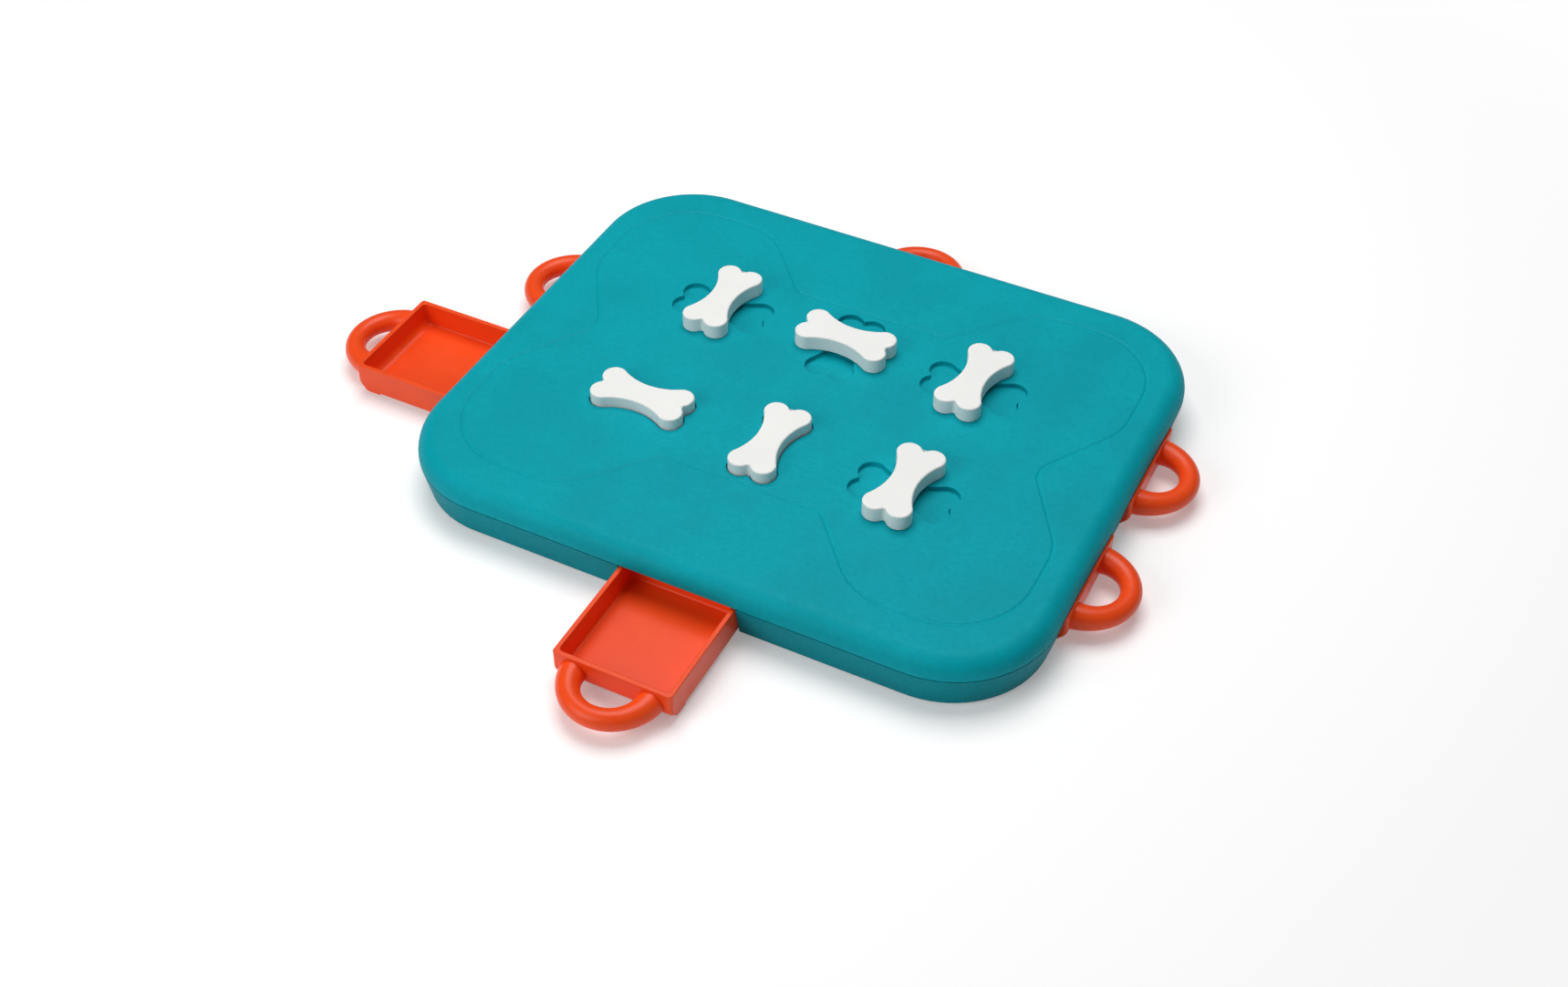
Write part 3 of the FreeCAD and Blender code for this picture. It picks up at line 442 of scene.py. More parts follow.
def quarter(count):
    """The steps of a quarter round, as pairs of 1 - sine and 1 - cosine."""
    angles = [math.pi / 2 * step / max(count, 1) for step in range(count + 1)]
    return [(1 - math.sin(angle), 1 - math.cos(angle)) for angle in angles]


def ring_points(radius, count=48, centre=(0, 0)):
    """A circle as points, anticlockwise."""
    return arc_points(centre, radius, 0, 2 * math.pi, count)[:-1]


def round_box(left, right, low, high, radii, count=14):
    """A rectangle with four round corners, from the lower right round to the lower left, anticlockwise."""
    if not isinstance(radii, (tuple, list)):
        radii = (radii,) * 4
    corners = (
        (right, low, -1, 1, -90), (right, high, -1, -1, 0), (left, high, 1, -1, 90), (left, low, 1, 1, 180))
    points = []
    for (x, y, sx, sy, start), radius in zip(corners, radii):
        centre = (x + sx * radius, y + sy * radius)
        points += arc_points(centre, radius, math.radians(start), math.radians(start + 90), count)
    return points


def bone_points(sizes, spread=0.0, fine=1):
    """A bone of eight tangent arcs about the origin, anticlockwise from the lower right lobe."""
    lobe = sizes.lobe + spread
    notch = sizes.notch - min(0, spread)
    x = sizes.length / 2 - sizes.lobe
    y = sizes.width / 2 - sizes.lobe
    waist = sizes.waist / 2 + spread
    side = (x * x + (waist - y) ** 2 - lobe * lobe) / (2 * (lobe - waist + y))
    top = waist + side
    nick = x + math.sqrt((lobe + notch) ** 2 - y * y)
    up = math.atan2(top - y, -x)
    out = math.atan2(-y, nick - x)
    lean = math.atan2(top - y, x)
    pi = math.pi
    runs = [
        arc_points((x, -y), lobe, -up, -out, 22 * fine),
        arc_points((nick, 0), notch, pi + out, pi - out, 8 * fine),
        arc_points((x, y), lobe, out, up, 22 * fine),
        arc_points((0, top), side, -lean, -pi + lean, 20 * fine),
        arc_points((-x, y), lobe, pi - up, pi - out, 22 * fine),
        arc_points((-nick, 0), notch, -out, out, 8 * fine),
        arc_points((-x, -y), lobe, pi + out, pi + up, 22 * fine),
        arc_points((0, -top), side, pi - lean, lean, 20 * fine),
    ]
    return [point for run in runs for point in run[:-1]]


class Mesh:
    """A mesh in the making, from rings of points. Rings that are joined have the same count."""

    def __init__(self, name):
        self.name = name
        self.points = []
        self.faces = []

    def ring(self, points, height):
        """Adds a level ring of points and gives their numbers."""
        start = len(self.points)
        self.points += [(x, y, height) for x, y in points]
        return list(range(start, len(self.points)))

    def skin(self, one, two):
        """Faces between two rings, outward where ring two lies over an anticlockwise ring one."""
        for a, b, c, d in zip(one, one[1:] + one[:1], two[1:] + two[:1], two):
            self.faces.append((a, b, c, d))

    def loft(self, levels, first=None, inward=False):
        """Joins rings, given as (points, height), and gives the numbers of the first and the last.

        It starts from a ring that is already there where one is given, and inward turns its faces round.
        """
        before = first
        start = None
        for points, height in levels:
            now = self.ring(points, height)
            start = start or now
            if before is not None:
                self.skin(*((now, before) if inward else (before, now)))
            before = now
        return start, before

    def close(self, ring, up=True, holes=()):
        """A flat face over a ring, with holes, cut into triangles."""
        rings = [ring, *holes]
        numbers = [number for each in rings for number in each]
        flat = [Vector(self.points[number][:2]) for number in numbers]
        loops = []
        at = 0
        for each in rings:
            loops.append(list(range(at, at + len(each))))
            at += len(each)
        edges = [(a, b) for loop in loops for a, b in zip(loop, loop[1:] + loop[:1])]
        only_inside = 1
        _, _, faces, origin, _, _ = delaunay_2d_cdt(flat, edges, [], only_inside, CUT_SLACK)
        outlines = [[flat[index] for index in loop] for loop in loops]
        for face in faces:
            corners = [origin[index][0] for index in face]
            middle = sum((flat[index] for index in corners), Vector((0, 0))) / len(corners)
            if not inside(middle, outlines[0]) or any(inside(middle, hole) for hole in outlines[1:]):
                continue
            a, b, c = (flat[index] for index in corners[:3])
            turn = (b - a).cross(c - a) > 0
            if turn != up:
                corners = corners[::-1]
            self.faces.append(tuple(numbers[index] for index in corners))

    def tube(self, levels):
        """A closed loft through rings that ends where it started."""
        start, end = self.loft(levels)
        self.skin(end, start)

    def block(self, outline, low, high, edge=0.0):
        """A prism with both ends rounded over, from a function of an inset that gives its outline."""
        turns = quarter(3 if edge else 0)
        levels = [(outline(edge * s), low + edge * c) for s, c in turns]
        levels += [(outline(edge * c), high - edge * s) for s, c in turns]
        first, last = self.loft(levels)
        self.close(first, up=False)
        self.close(last)

    def build(self, finish, place=None, sharp=38):
        """The object, at the origin with its place in its mesh, smooth but for its sharp edges."""
        data = bpy.data.meshes.new(self.name)
        data.from_pydata(self.points, [], self.faces)
        if place is not None:
            data.transform(place)
        data.validate()
        return dressed(self.name, data, finish, sharp)


def inside(point, outline):
    """Whether a point lies in a closed outline."""
    hit = False
    for a, b in zip(outline, outline[1:] + outline[:1]):
        if (a.y > point.y) != (b.y > point.y):
            if point.x < (b.x - a.x) * (point.y - a.y) / (b.y - a.y) + a.x:
                hit = not hit
    return hit


def dressed(name, data, finish, sharp=38):
    """An object for a mesh: doubles merged, smooth but for edges past sharp degrees, and even normals."""
    shape = bmesh.new()
    shape.from_mesh(data)
    bmesh.ops.remove_doubles(shape, verts=shape.verts, dist=SAME_POINT)
    for face in shape.faces:
        face.smooth = True
    for edge in shape.edges:
        edge.smooth = len(edge.link_faces) == 2 and edge.calc_face_angle(0) < math.radians(sharp)
    shape.to_mesh(data)
    shape.free()
    data.materials.clear()
    data.materials.append(material(finish))
    data.name = name
    piece = bpy.data.objects.new(name, data)
    bpy.context.scene.collection.objects.link(piece)
    # Large flat faces keep their normals, so that narrow roundings take up the turn
    even = piece.modifiers.new("even_normals", "WEIGHTED_NORMAL")
    even.keep_sharp = True
    even.weight = 80
    return piece


def join_frame(piece, body, slot, *nodes):
    """Rides on a body and stands for CAD nodes, which it hides. The slot is not used."""
    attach(piece, body)
    if nodes:
        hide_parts(*nodes)
    return piece


def smooth_copy(node, finish):
    """A merged and smooth copy of a CAD node."""
    return dressed(f"{node}_moulded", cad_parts[node].data.copy(), finish)


# Geometry Nodes


class Tree:
    """A Geometry Nodes tree with named inputs for its sizes."""

    def __init__(self, name, inputs):
        self.tree = bpy.data.node_groups.new(name, "GeometryNodeTree")
        self.tree.interface.new_socket("Geometry", in_out="INPUT", socket_type="NodeSocketGeometry")
        self.tree.interface.new_socket("Geometry", in_out="OUTPUT", socket_type="NodeSocketGeometry")
        self.inputs = inputs
        for label, value in inputs.items():
            socket = self.tree.interface.new_socket(label, in_out="INPUT", socket_type="NodeSocketFloat")
            socket.default_value = value
        self.source = self.tree.nodes.new("NodeGroupInput")

    def node(self, kind, settings=None, values=None, output=0):
        return add_node(self.tree, kind, settings, values, output)

    def value(self, label):
        return self.source.outputs[label]

    def math(self, operation, *values):
        return self.node("ShaderNodeMath", {"operation": operation}, dict(enumerate(values)))

    def half(self, label):
        """Half of a named input, such as the radius of a diameter."""
        return self.math("MULTIPLY", self.value(label), 0.5)

    def raised(self, geometry, height):
        """Geometry moved up."""
        return self.node("GeometryNodeTransform", values={
            "Geometry": geometry, "Translation": self.node("ShaderNodeCombineXYZ", values={"Z": height})})

    def bar(self, line, radius, sides):
        """A round bar along a curve, with closed ends and a radius that may change on the way."""
        section = self.node(
            "GeometryNodeCurvePrimitiveCircle", {"mode": "RADIUS"}, {"Resolution": sides, "Radius": 1.0})
        return self.node("GeometryNodeCurveToMesh", values={
            "Curve": line, "Profile Curve": section, "Scale": radius, "Fill Caps": True})

    def cylinder(self, diameter, height, sides):
        """A cylinder about the origin, sized by two named inputs."""
        values = {
            "Vertices": sides, "Side Segments": 1, "Radius": self.half(diameter), "Depth": self.value(height)}
        return self.node("GeometryNodeMeshCylinder", {"fill_type": "NGON"}, values)

    def on_points(self, piece):
        """The piece once on every point of the mesh that the tree is run on."""
        places = self.node("GeometryNodeMeshToPoints", values={"Mesh": self.value("Geometry")})
        return self.node("GeometryNodeInstanceOnPoints", values={"Points": places, "Instance": piece})

    def end(self, geometry, finish):
        """Ends in Realize Instances and Set Material."""
        solid = self.node("GeometryNodeRealizeInstances", values={"Geometry": geometry})
        painted = self.node(
            "GeometryNodeSetMaterial", values={"Geometry": solid, "Material": material(finish)})
        self.node("NodeGroupOutput", values={"Geometry": painted})

    def run(self, name, finish, points=(), place=None):
        """Runs the tree on a mesh of loose points and gives the result as a plain object."""
        seed = bpy.data.meshes.new(name + "_points")
        seed.from_pydata([tuple(point) for point in points] or [(0, 0, 0)], [], [])
        host = bpy.data.objects.new(name + "_host", seed)
        bpy.context.scene.collection.objects.link(host)
        step = host.modifiers.new("grow", "NODES")
        step.node_group = self.tree
        for socket in self.tree.interface.items_tree:
            if socket.in_out == "INPUT" and socket.name in self.inputs:
                step[socket.identifier] = float(self.inputs[socket.name])
        ready = host.evaluated_get(bpy.context.evaluated_depsgraph_get())
        data = bpy.data.meshes.new_from_object(ready)
        host.modifiers.remove(step)
        bpy.data.objects.remove(host)
        if place is not None:
            data.transform(place)
        return dressed(name, data, finish)


def handle_tree(sizes):
    """A bar bent round half a circle, thicker towards its ends, which run into the drawer's face."""
    t = Tree("handle_loop", {
        "Loop radius": sizes.loop, "Bar": sizes.bar, "Waist": 0.97, "Flare": 0.3, "Flare power": 2.6})
    past = 0.02  # How far each end runs on past the half circle, in radians
    bow = t.node(
        "GeometryNodeCurveArc", {"mode": "RADIUS"},
        {"Resolution": 49, "Radius": t.value("Loop radius"), "Start Angle": math.pi - past,
         "Sweep Angle": math.pi + 2 * past})
    along = t.node("GeometryNodeSplineParameter")
    from_middle = t.math("MULTIPLY_ADD", along, 2.0, -1.0)
    steep = t.math("POWER", t.math("ABSOLUTE", from_middle), t.value("Flare power"))
    flare = t.math("MULTIPLY_ADD", steep, t.value("Flare"), t.value("Waist"))
    radius = t.math("MULTIPLY", flare, t.half("Bar"))
    t.end(t.bar(bow, radius, sides=28), "drawer_plastic")
    return t


def screw_tree():
    """Pan-head screws with a straight driver slot, one on every point, which is its head's lower face."""
    t = Tree("pan_head_screws", {
        "Head": 5.9 * MM, "Head height": 1.95 * MM, "Shank": 2.9 * MM, "Length": 14.9 * MM,
        "Slot share": 0.66, "Slot width": 0.9 * MM, "Slot depth": 0.85 * MM})
    head = t.cylinder("Head", "Head height", sides=32)
    cutter = t.node("GeometryNodeMeshCube", values={"Size": t.node("ShaderNodeCombineXYZ", values={
        "X": t.math("MULTIPLY", t.value("Head"), t.value("Slot share")),
        "Y": t.value("Slot width"), "Z": t.math("MULTIPLY", t.value("Slot depth"), 2.0)})})
    cutter = t.raised(cutter, t.math("MULTIPLY", t.value("Head height"), -0.5))
    cut = t.node("GeometryNodeMeshBoolean", {"operation": "DIFFERENCE"}, {"Mesh 1": head, "Mesh 2": cutter})
    shank = t.cylinder("Shank", "Length", sides=20)
    both = t.tree.nodes.new("GeometryNodeJoinGeometry")
    t.tree.links.new(cut, both.inputs[0])
    t.tree.links.new(t.raised(shank, t.half("Length")), both.inputs[0])
    t.end(t.on_points(t.raised(both.outputs[0], t.half("Head height"))), "screw_steel")
    return t


def foot_tree():
    """Round rubber pads with a rounded lower edge, one on every point."""
    t = Tree("rubber_pads", {"Diameter": 18 * MM, "Height": 1.8 * MM, "Edge": 0.5 * MM})
    inner = t.math("SUBTRACT", t.half("Diameter"), t.value("Edge"))
    rise = t.node("ShaderNodeCombineXYZ", values={"Z": t.value("Height")})
    line = t.node("GeometryNodeCurvePrimitiveLine", values={"End": rise})
    cut = t.node("GeometryNodeResampleCurve", values={"Curve": line, "Count": 24})
    place = t.node("GeometryNodeInputPosition")
    height = t.node("ShaderNodeSeparateXYZ", values={"Vector": place}, output=2)
    near_foot = t.node("ShaderNodeMapRange", {"interpolation_type": "LINEAR"}, {
        "Value": height, "From Min": 0.0, "From Max": t.value("Edge"), "To Min": 1.0, "To Max": 0.0})
    chord = t.math("SQRT", t.math("SUBTRACT", 1.0, t.math("MULTIPLY", near_foot, near_foot)))
    radius = t.math("MULTIPLY_ADD", chord, t.value("Edge"), inner)
    t.end(t.on_points(t.bar(cut, radius, sides=56)), "foot_rubber")
    return t


# Pieces


def groove_line():
    """The centre line of the ornamental groove, one large bone, as a closed line of points, clockwise."""
    # A quarter of the bone in millimetres. It starts at the first corner, the last only gives a direction,
    # and the radii round those between
    corners = [(0, 70.5), (41, 70.5), (75.5, 111), (145.5, 111), (145.5, 44), (118, 0), (145.5, -44)]
    corners = [Vector(corner) * MM for corner in corners]
    radii = [9, 36, 39, 34, 12]
    quarter_line = [corners[0]]
    for index, radius in enumerate(radii, start=1):
        radius *= MM
        corner = corners[index]
        back = (corners[index - 1] - corner).normalized()
        on = (corners[index + 1] - corner).normalized()
        half = back.angle(on) / 2
        centre = corner + (back + on).normalized() * (radius / math.sin(half))
        start = corner + back * (radius / math.tan(half)) - centre
        end = corner + on * (radius / math.tan(half)) - centre
        # The last corner lies on the mirror line, so only the first half of its arc is drawn
        steps, share = (20, 1) if index < len(radii) else (10, 0.5)
        for step in range(steps + 1):
            turned = start.copy()
            turned.rotate(Matrix.Rotation(-start.angle_signed(end) * share * step / steps, 2))
            quarter_line.append(centre + turned)
    right = quarter_line + [Vector((p.x, -p.y)) for p in quarter_line[-2::-1]]
    line = right + [Vector((-p.x, p.y)) for p in right[-2:0:-1]]
    return even_line(line, count=420)


def even_line(line, count):
    """A closed line cut again into equal steps."""
    total = [0.0]
    for a, b in zip(line, line[1:] + line[:1]):
        total.append(total[-1] + (b - a).length)
    steps = np.linspace(0, total[-1], count, endpoint=False)
    xs = np.interp(steps, total, [p.x for p in line] + [line[0].x])
    ys = np.interp(steps, total, [p.y for p in line] + [line[0].y])
    return [Vector((x, y)) for x, y in zip(xs, ys)]


def beside(line, away):
    """A clockwise line moved sideways, outwards where away is above nought."""
    moved = []
    for before, here, after in zip(line[-1:] + line[:-1], line, line[1:] + line[:1]):
        along = (after - before).normalized()
        moved.append(here + Vector((-along.y, along.x)) * away)
    return moved


def make_cover(board, bones):
    """The upper shell: soft edge, groove, six recesses with rounded rims, bores, and its inner side."""
    shell = Mesh("top_cover_moulded")
    floor = board.top - board.recess_deep
    pad_low = floor - board.pad_deep
    ceiling = board.top - board.wall - HAIR

    def plan(inset):
        wide, deep = board.width / 2 - inset, board.depth / 2 - inset
        return round_box(-wide, wide, -deep, deep, board.corner - inset, count=24)

    lip, edge = board.lip, board.edge
    levels = [(plan(lip * s), board.joint + lip * c) for s, c in quarter(3)]
    levels += [(plan(edge * c), board.top - edge * s) for s, c in quarter(18)]
    lower, upper = shell.loft(levels)

    line = groove_line()
    groove = []
    # From the outer edge to the inner, on a cosine's section that is a little fuller than a plain one
    for across in np.linspace(-1, 1, 13):
        depth = board.groove_deep * (0.5 + 0.5 * math.cos(math.pi * across)) ** 0.8
        groove.append(shell.ring(beside(line, -across * board.groove_wide / 2), board.top - depth))
    for one, two in zip(groove, groove[1:]):
        shell.skin(two, one)
    shell.close(upper, holes=[groove[0]])

    rims, pads = [], []
    for column, row, *_ in BONES.values():
        centre = (column * board.column, row * board.row)
        place = Matrix.Translation((*centre, 0)) @ Matrix.Rotation(0 if column else math.pi / 2, 4, "Z")

        def outline(spread, place=place):
            flat = bone_points(bones, board.recess_gap + spread)
            return [tuple(place @ Vector((x, y, 0)))[:2] for x, y in flat]

        rim, foot = board.recess_rim, board.recess_foot
        levels = [(outline(rim * s), board.top - rim * c) for s, c in quarter(4)]
        levels += [(outline(-foot * c), floor + foot * s) for s, c in quarter(3)]
        first, last = shell.loft(levels)
        rims.append(first)

        bore, bush = ring_points(bones.bore / 2, centre=centre), ring_points(bones.bush / 2, centre=centre)
        mouth = shell.ring(bore, floor)
        shell.close(last, holes=[mouth])
        _, root = shell.loft([(bore, bones.bush_end), (bush, bones.bush_end), (bush, pad_low)], first=mouth)
        pad, top = shell.loft([(outline(board.pad_wide), height) for height in (pad_low, ceiling)])
        shell.close(pad, up=False, holes=[root])
        pads.append(top)
    shell.close(groove[-1], holes=rims)

    inner = edge - board.wall
    levels = [(plan(board.wall), board.joint)]
    levels += [(plan(board.wall + inner * c), ceiling - inner * s) for s, c in quarter(8)]
    _, roof = shell.loft(levels, first=lower, inward=True)
    shell.close(roof, up=False, holes=pads)

    high = board.top - board.wall
    for x, y in SCREW_PLACES:
        centre = (x * board.width, y * board.depth)
        boss, pilot = (ring_points(size / 2, count=32, centre=centre) for size in (board.boss, board.pilot))
        shell.tube([(boss, board.boss_end), (boss, high), (pilot, high), (pilot, board.boss_end)])
    return shell.build("cover_composite", sharp=32)


def drawer_place(name, board, drawers):
    """From a drawer's own directions, with -Y the way out and Y = 0 on its face, to its place at rest."""
    side, lane, stands_open = DRAWERS[name]
    reach = (board.depth if side in (0, 180) else board.width) / 2 + drawers.proud
    if stands_open:
        reach += drawers.travel
    angle = math.radians(side)
    out = Vector((math.sin(angle), -math.cos(angle), 0))
    return Matrix.Translation(out * reach + Vector((0, lane * board.row, 0))) @ Matrix.Rotation(angle, 4, "Z")


def make_drawer(name, board, drawers):
    """One drawer: box with a large round under its front, rounded rim, and the tongue with gate and stops."""
    d = drawers
    box = Mesh(f"{name}_moulded")
    half = d.width / 2
    low = d.base - d.step
    floor = d.base + d.floor
    inner_front = d.front - d.wall

    def lies_back(height, radius, foot):
        """How far a quarter round that stands on a foot height lies back at a height."""
        rise = foot + radius - height
        return radius - math.sqrt(max(radius * radius - rise * rise, 0)) if rise > 0 else 0

    def heights(radius, foot, angles):
        """Heights on such a round, by angles in degrees."""
        return [foot + radius * (1 - math.cos(math.radians(angle))) for angle in angles]

    def outside(height, inset=0.0):
        front = lies_back(height, d.front, low) + inset
        corner, back = d.corner - inset, max(d.back_corner - inset, LEAST_CORNER)
        return round_box(
            -half + inset, half - inset, front, d.length - inset, (corner, back, back, corner), count=6)

    def within(height, inset=0.0):
        draw_in = lies_back(height, d.floor_round, floor)
        front = d.wall + max(lies_back(height, inner_front, floor), draw_in) + inset
        wall = d.wall + draw_in + inset
        return round_box(-half + wall, half - wall, front, d.length - wall, d.inside - inset / 2, count=6)

    def toe(height, inset=0.0):
        front = lies_back(height, d.front, low) + inset
        return round_box(-half + inset, half - inset, front, d.step_end - inset, d.small_corner, count=3)

    bevel_top = d.base + d.small_edge
    levels = [(outside(d.base, d.small_edge), d.base), (outside(bevel_top), bevel_top)]
    levels += [(outside(z), z) for z in heights(d.front, low, range(30, 91, 5)) if z > bevel_top]
    rim = d.rim_edge
    levels += [(outside(d.rim, rim * c), d.rim - rim * s) for s, c in quarter(5)]
    levels += [(within(d.rim, -rim * c), d.rim - rim * s) for s, c in reversed(quarter(5))]
    walls = heights(inner_front, floor, range(0, 91, 6)) + heights(d.floor_round, floor, range(0, 91, 18))
    levels += [(within(z), z) for z in sorted(set(walls), reverse=True)]
    first, last = box.loft(levels)
    box.close(first, up=False)
    box.close(last)

    levels = [(toe(low, d.toe_edge), low)]
    levels += [(toe(z), z) for z in heights(d.front, low, range(6, 25, 6)) if z < d.base]
    levels.append((toe(d.base), d.base + d.toe_edge))
    first, last = box.loft(levels)
    box.close(first, up=False)
    box.close(last)

    root, end = d.length - d.tongue_root, d.length + d.tongue
    side, top, foot = half - d.tongue_in, d.base + d.tongue_thick, d.base + d.rib_foot
    plate = round_box(-side, side, root, end, d.tongue_corner, count=6)
    window = round_box(
        -d.window_wide / 2, d.window_wide / 2, d.window_start, d.window_end, d.window_corner, count=6)
    box.tube([(plate, d.base), (plate, top), (window, top), (window, d.base)])
    for near, far, start, stop, z0, z1 in (
        (side - d.rail, side, root, end, d.base, d.base + d.rail_rise),
        (d.gate_slot / 2, d.gate_wide / 2, d.gate_start, d.gate_start + d.gate_length, foot, d.gate_top),
        (d.stop_slot / 2, d.stop_wide / 2, end - d.stop_length, end, foot, d.stop_top),
    ):
        for left, right in ((-far, -near), (near, far)):
            def rib(inset, left=left, right=right, start=start, stop=stop):
                return round_box(
                    left + inset, right - inset, start + inset, stop - inset, d.small_corner - inset, count=3)

            box.block(rib, z0, z1, d.small_edge)
    return box.build("drawer_plastic", drawer_place(name, board, drawers))


def make_bone(name, board, bones):
    """One bone with rounded edges, its stem and the square end that keys the cam."""
    column, row, turn, dropped, off_square = BONES[name]
    piece = Mesh(f"bone_{name}_moulded")

    def outline(inset):
        return bone_points(bones, -inset, fine=2)

    foot, edge = bones.foot, bones.edge
    levels = [(outline(foot * s), foot * c) for s, c in quarter(3)]
    levels += [(outline(edge * c), bones.thick - edge * s) for s, c in quarter(7)]
    first, last = piece.loft(levels)
    shaft = ring_points(bones.stem / 2)
    stem = piece.ring(shaft, 0)
    piece.close(first, up=False, holes=[stem])
    piece.close(last)
    lower = bones.bush_end - board.top - bones.stem_past
    end = piece.ring(shaft, lower)
    piece.skin(end, stem)
    piece.close(end, up=False)
    half = bones.key / 2
    square = round_box(-half, half, -half, half, LEAST_CORNER, count=2)
    piece.block(lambda inset: square, lower - bones.key_length, lower + bones.key_root)
    height = board.top + HAIR - (board.recess_deep if dropped else 0)
    place = Matrix.Translation((column * board.column, row * board.row, height))
    place @= Matrix.Rotation(math.radians(turn + off_square), 4, "Z")
    return piece.build("bone_plastic", place)


# Operators


class PuzzleOperator:
    """What the operators share."""

    bl_options = {"REGISTER", "UNDO"}

    @property
    def sizes(self):
        return bpy.context.scene.puzzle


class PUZZLE_OT_stage(PuzzleOperator, bpy.types.Operator):
    """Pale floor, soft studio light and the camera"""
    bl_idname = "puzzle.stage"
    bl_label = "Make Stage"

    def execute(self, context):
        s = self.sizes.stage
        scene = context.scene
        scene.view_settings.view_transform = "Standard"
        self.make_camera(scene, s)
        self.make_floor(scene, s)
        self.make_light(scene, s)
        return {"FINISHED"}

    def make_camera(self, scene, s):
        """The camera, turned about the point that it looks at."""
        lens = bpy.data.cameras.new("picture_camera")
        lens.sensor_fit = "HORIZONTAL"
        lens.sensor_width = 36
        lens.lens = s.focal_pixels * lens.sensor_width / PIXELS_WIDE
        lens.clip_start, lens.clip_end = 0.01, 20
        camera = bpy.data.objects.new("picture_camera", lens)
        scene.collection.objects.link(camera)
        scene.camera = camera
        az, el, lean = s.azimuth, s.elevation, s.roll
        back = Vector((math.sin(az) * math.cos(el), -math.cos(az) * math.cos(el), math.sin(el)))
        right = Vector((math.cos(az), math.sin(az), 0))
        up = back.cross(right)
        across = right * math.cos(lean) + up * math.sin(lean)
        upward = up * math.cos(lean) - right * math.sin(lean)
        turn = Matrix((across, upward, back)).transposed()
        place = Vector((s.aim_x, s.aim_y, 0)) + back * s.distance
        camera.matrix_world = Matrix.Translation(place) @ turn.to_4x4()

    def make_floor(self, scene, s):
        """A pale floor that holds the shadow. Camera and reflections see it brighter, and white far off."""
        data = bpy.data.meshes.new("studio_floor")
        corners = [(x * s.floor_reach, y * s.floor_reach, 0) for x, y in ((-1, -1), (1, -1), (1, 1), (-1, 1))]
        data.from_pydata(corners, [], [(0, 1, 2, 3)])
        floor = bpy.data.objects.new("studio_floor", data)
        scene.collection.objects.link(floor)
        m = Shader("studio_floor")
        light = m.node("ShaderNodeBsdfDiffuse", values={"Color": (s.floor, s.floor, s.floor, 1)})
        glow, white = (
            m.node("ShaderNodeEmission", values={"Color": (1, 1, 1, 1), "Strength": strength})
            for strength in (s.floor_glow, 1.0))
        lit = m.node("ShaderNodeAddShader", values={0: light, 1: glow})
        away = m.node("ShaderNodeVectorMath", {"operation": "LENGTH"}, {0: m.place}, output=1)
        shown = m.node(
            "ShaderNodeMixShader", values={0: away.over(s.floor_near, s.floor_far), 1: lit, 2: white})
        camera, glossy, through = (
            m.node("ShaderNodeLightPath", output=f"Is {ray} Ray")
            for ray in ("Camera", "Glossy", "Transmission"))
        m.end(m.node("ShaderNodeMixShader", values={0: camera + glossy + through, 1: light, 2: shown}))
        data.materials.append(m.material)

    def make_light(self, scene, s):
        """A dim sky that the camera sees at full strength, and two soft boxes."""
        world = bpy.data.worlds.new("studio")
        scene.world = world
        world.use_nodes = True
        tree = world.node_tree
        tree.nodes.clear()
        seen = add_node(tree, "ShaderNodeLightPath", output="Is Camera Ray")
        dim = add_node(tree, "ShaderNodeBackground", values={"Strength": s.sky})
        bright = add_node(tree, "ShaderNodeBackground")
        sky = add_node(tree, "ShaderNodeMixShader", values={0: seen, 1: dim, 2: bright})
        add_node(tree, "ShaderNodeOutputWorld", values={"Surface": sky})
        for name, (power, size, place) in LAMPS.items():
            lamp = bpy.data.lights.new(name, "AREA")
            lamp.shape = "SQUARE"
            lamp.size = size
            lamp.energy = getattr(s, power)
            thing = bpy.data.objects.new(name, lamp)
            scene.collection.objects.link(thing)
            thing.location = place
            thing.rotation_mode = "QUATERNION"
            thing.rotation_quaternion = Vector(place).to_track_quat("Z", "Y")


class PUZZLE_OT_shells(PuzzleOperator, bpy.types.Operator):
    """The board's upper and lower shells"""
    bl_idname = "puzzle.shells"
    bl_label = "Make Shells"

    def execute(self, context):
        cover = make_cover(self.sizes.board, self.sizes.bones)
        join_frame(cover, "board", "cover_composite", "top_cover")
        # The lower shell takes the darker teal, with painted shade in its colour
        join_frame(smooth_copy("base_tray", "tray_composite"), "board", "tray_composite", "base_tray")
        return {"FINISHED"}


class PUZZLE_OT_drawers(PuzzleOperator, bpy.types.Operator):
    """The six drawers, each with its tongue"""
    bl_idname = "puzzle.drawers"
    bl_label = "Make Drawers"

    def execute(self, context):
        for name in DRAWERS:
            piece = make_drawer(name, self.sizes.board, self.sizes.drawers)
            join_frame(piece, name, "drawer_plastic", name)
        return {"FINISHED"}


class PUZZLE_OT_handles(PuzzleOperator, bpy.types.Operator):
    """The six handle loops"""
    bl_idname = "puzzle.handles"
    bl_label = "Make Handles"

    def execute(self, context):
        d = self.sizes.drawers
        tree = handle_tree(d)
        for name in DRAWERS:
            place = drawer_place(name, self.sizes.board, d) @ Matrix.Translation((0, d.bar_in, d.bar_height))
            loop = tree.run(name.replace("drawer", "handle"), "drawer_plastic", place=place)
            join_frame(loop, name, "drawer_plastic", name)
        return {"FINISHED"}


class PUZZLE_OT_bones(PuzzleOperator, bpy.types.Operator):
    """The six bones with their stems"""
    bl_idname = "puzzle.bones"
    bl_label = "Make Bones"

    def execute(self, context):
        for name in BONES:
            bone = make_bone(name, self.sizes.board, self.sizes.bones)
            join_frame(bone, f"lock_{name}", "bone_plastic", f"bone_{name}")
        return {"FINISHED"}


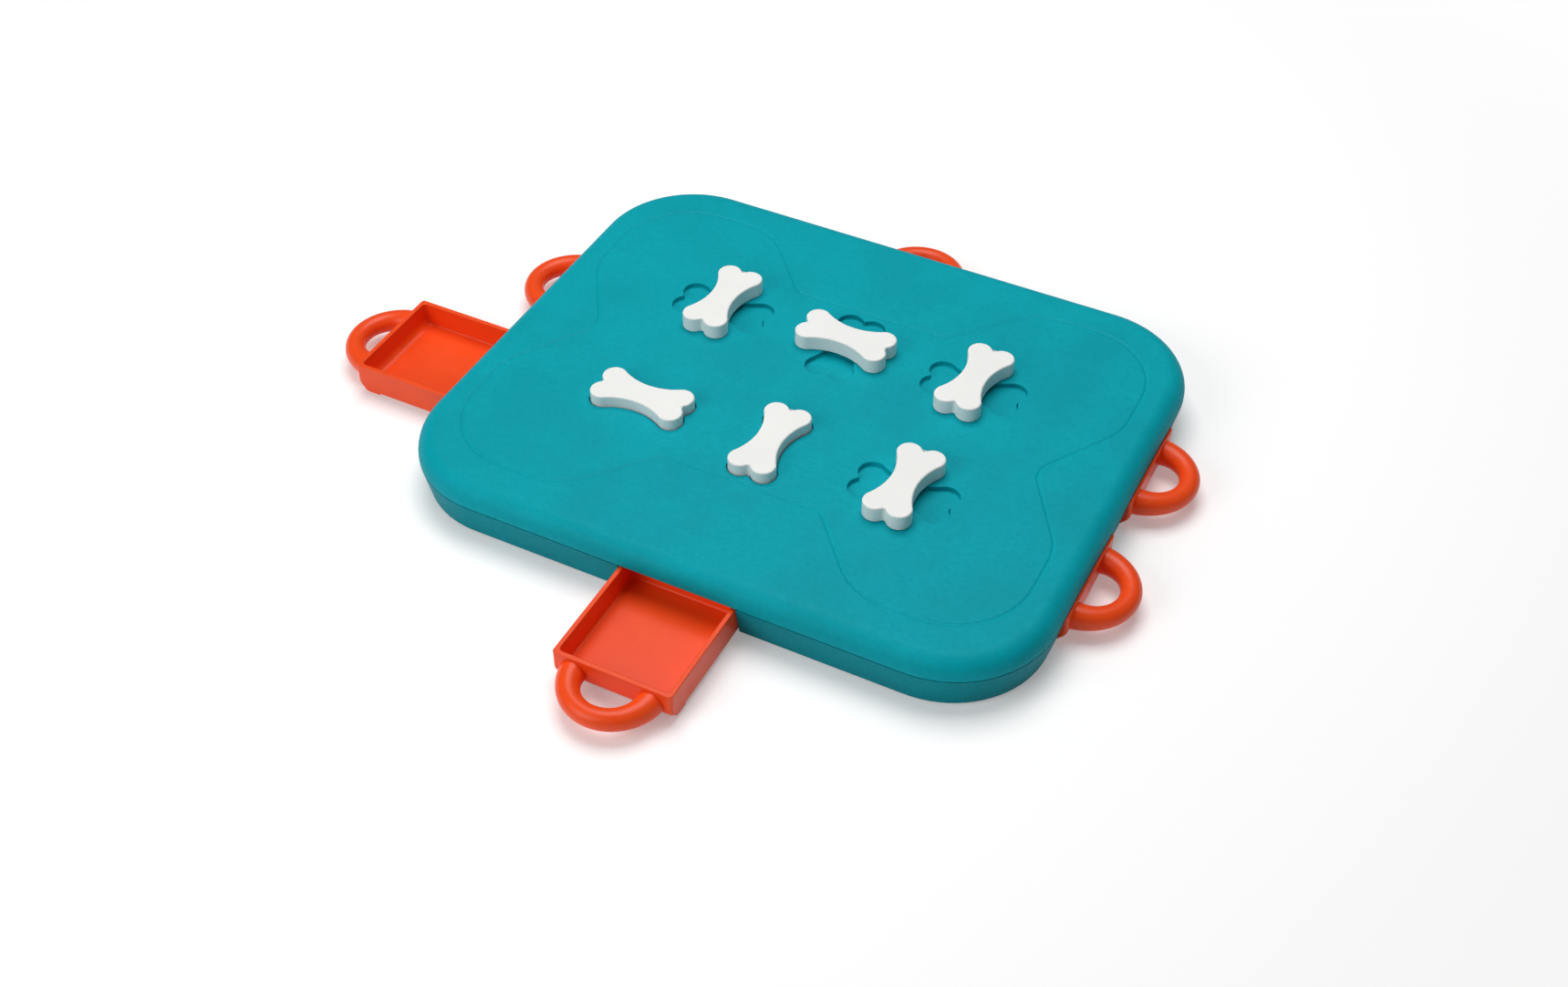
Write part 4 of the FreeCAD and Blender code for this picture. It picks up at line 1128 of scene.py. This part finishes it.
class PUZZLE_OT_small_pieces(PuzzleOperator, bpy.types.Operator):
    """Screws, rubber feet and lock cams"""
    bl_idname = "puzzle.small_pieces"
    bl_label = "Make Small Pieces"

    def execute(self, context):
        board = self.sizes.board
        heads = [(x * board.width, y * board.depth, board.screw_low) for x, y in SCREW_PLACES]
        screws = screw_tree().run("cover_screws_plated", "screw_steel", heads)
        join_frame(screws, "board", "screw_steel", "cover_screws")
        pads = [(x * board.width, y * board.depth, 0) for x, y in FOOT_PLACES.values()]
        feet = foot_tree().run("rubber_feet", "foot_rubber", pads)
        join_frame(feet, "board", "foot_rubber", *FOOT_PLACES)
        for name in BONES:
            cam = smooth_copy(f"cam_{name}", "cam_plastic")
            join_frame(cam, f"lock_{name}", "cam_plastic", f"cam_{name}")
            screw = smooth_copy(f"cam_screw_{name}", "screw_steel")
            join_frame(screw, f"lock_{name}", "screw_steel", f"cam_screw_{name}")
        return {"FINISHED"}


class PUZZLE_PT_panel(bpy.types.Panel):
    """Lists the pieces and their sizes"""
    bl_idname = "PUZZLE_PT_panel"
    bl_label = "Puzzle Board"
    bl_space_type = "VIEW_3D"
    bl_region_type = "UI"
    bl_category = "Puzzle"

    def draw(self, context):
        for operator in OPERATORS:
            self.layout.operator(operator.bl_idname)
        everything = context.scene.puzzle
        for group in ("board", "bones", "drawers", "finish", "stage"):
            box = self.layout.box()
            box.label(text=group.capitalize())
            part = getattr(everything, group)
            for name in part.__annotations__:
                box.prop(part, name)


OPERATORS = [
    PUZZLE_OT_stage, PUZZLE_OT_shells, PUZZLE_OT_drawers, PUZZLE_OT_handles, PUZZLE_OT_bones,
    PUZZLE_OT_small_pieces,
]
CLASSES = [
    PUZZLE_PG_board, PUZZLE_PG_bones, PUZZLE_PG_drawers, PUZZLE_PG_finish, PUZZLE_PG_stage, PUZZLE_PG_all,
] + OPERATORS + [PUZZLE_PT_panel]


def register():
    for each in CLASSES:
        bpy.utils.register_class(each)
    bpy.types.Scene.puzzle = bpy.props.PointerProperty(type=PUZZLE_PG_all)


def unregister():
    del bpy.types.Scene.puzzle
    for each in reversed(CLASSES):
        bpy.utils.unregister_class(each)


def main():
    """Makes every piece."""
    register()
    for operator in OPERATORS:
        group, name = operator.bl_idname.split(".")
        getattr(getattr(bpy.ops, group), name)()


if __name__ == "__main__":
    main()
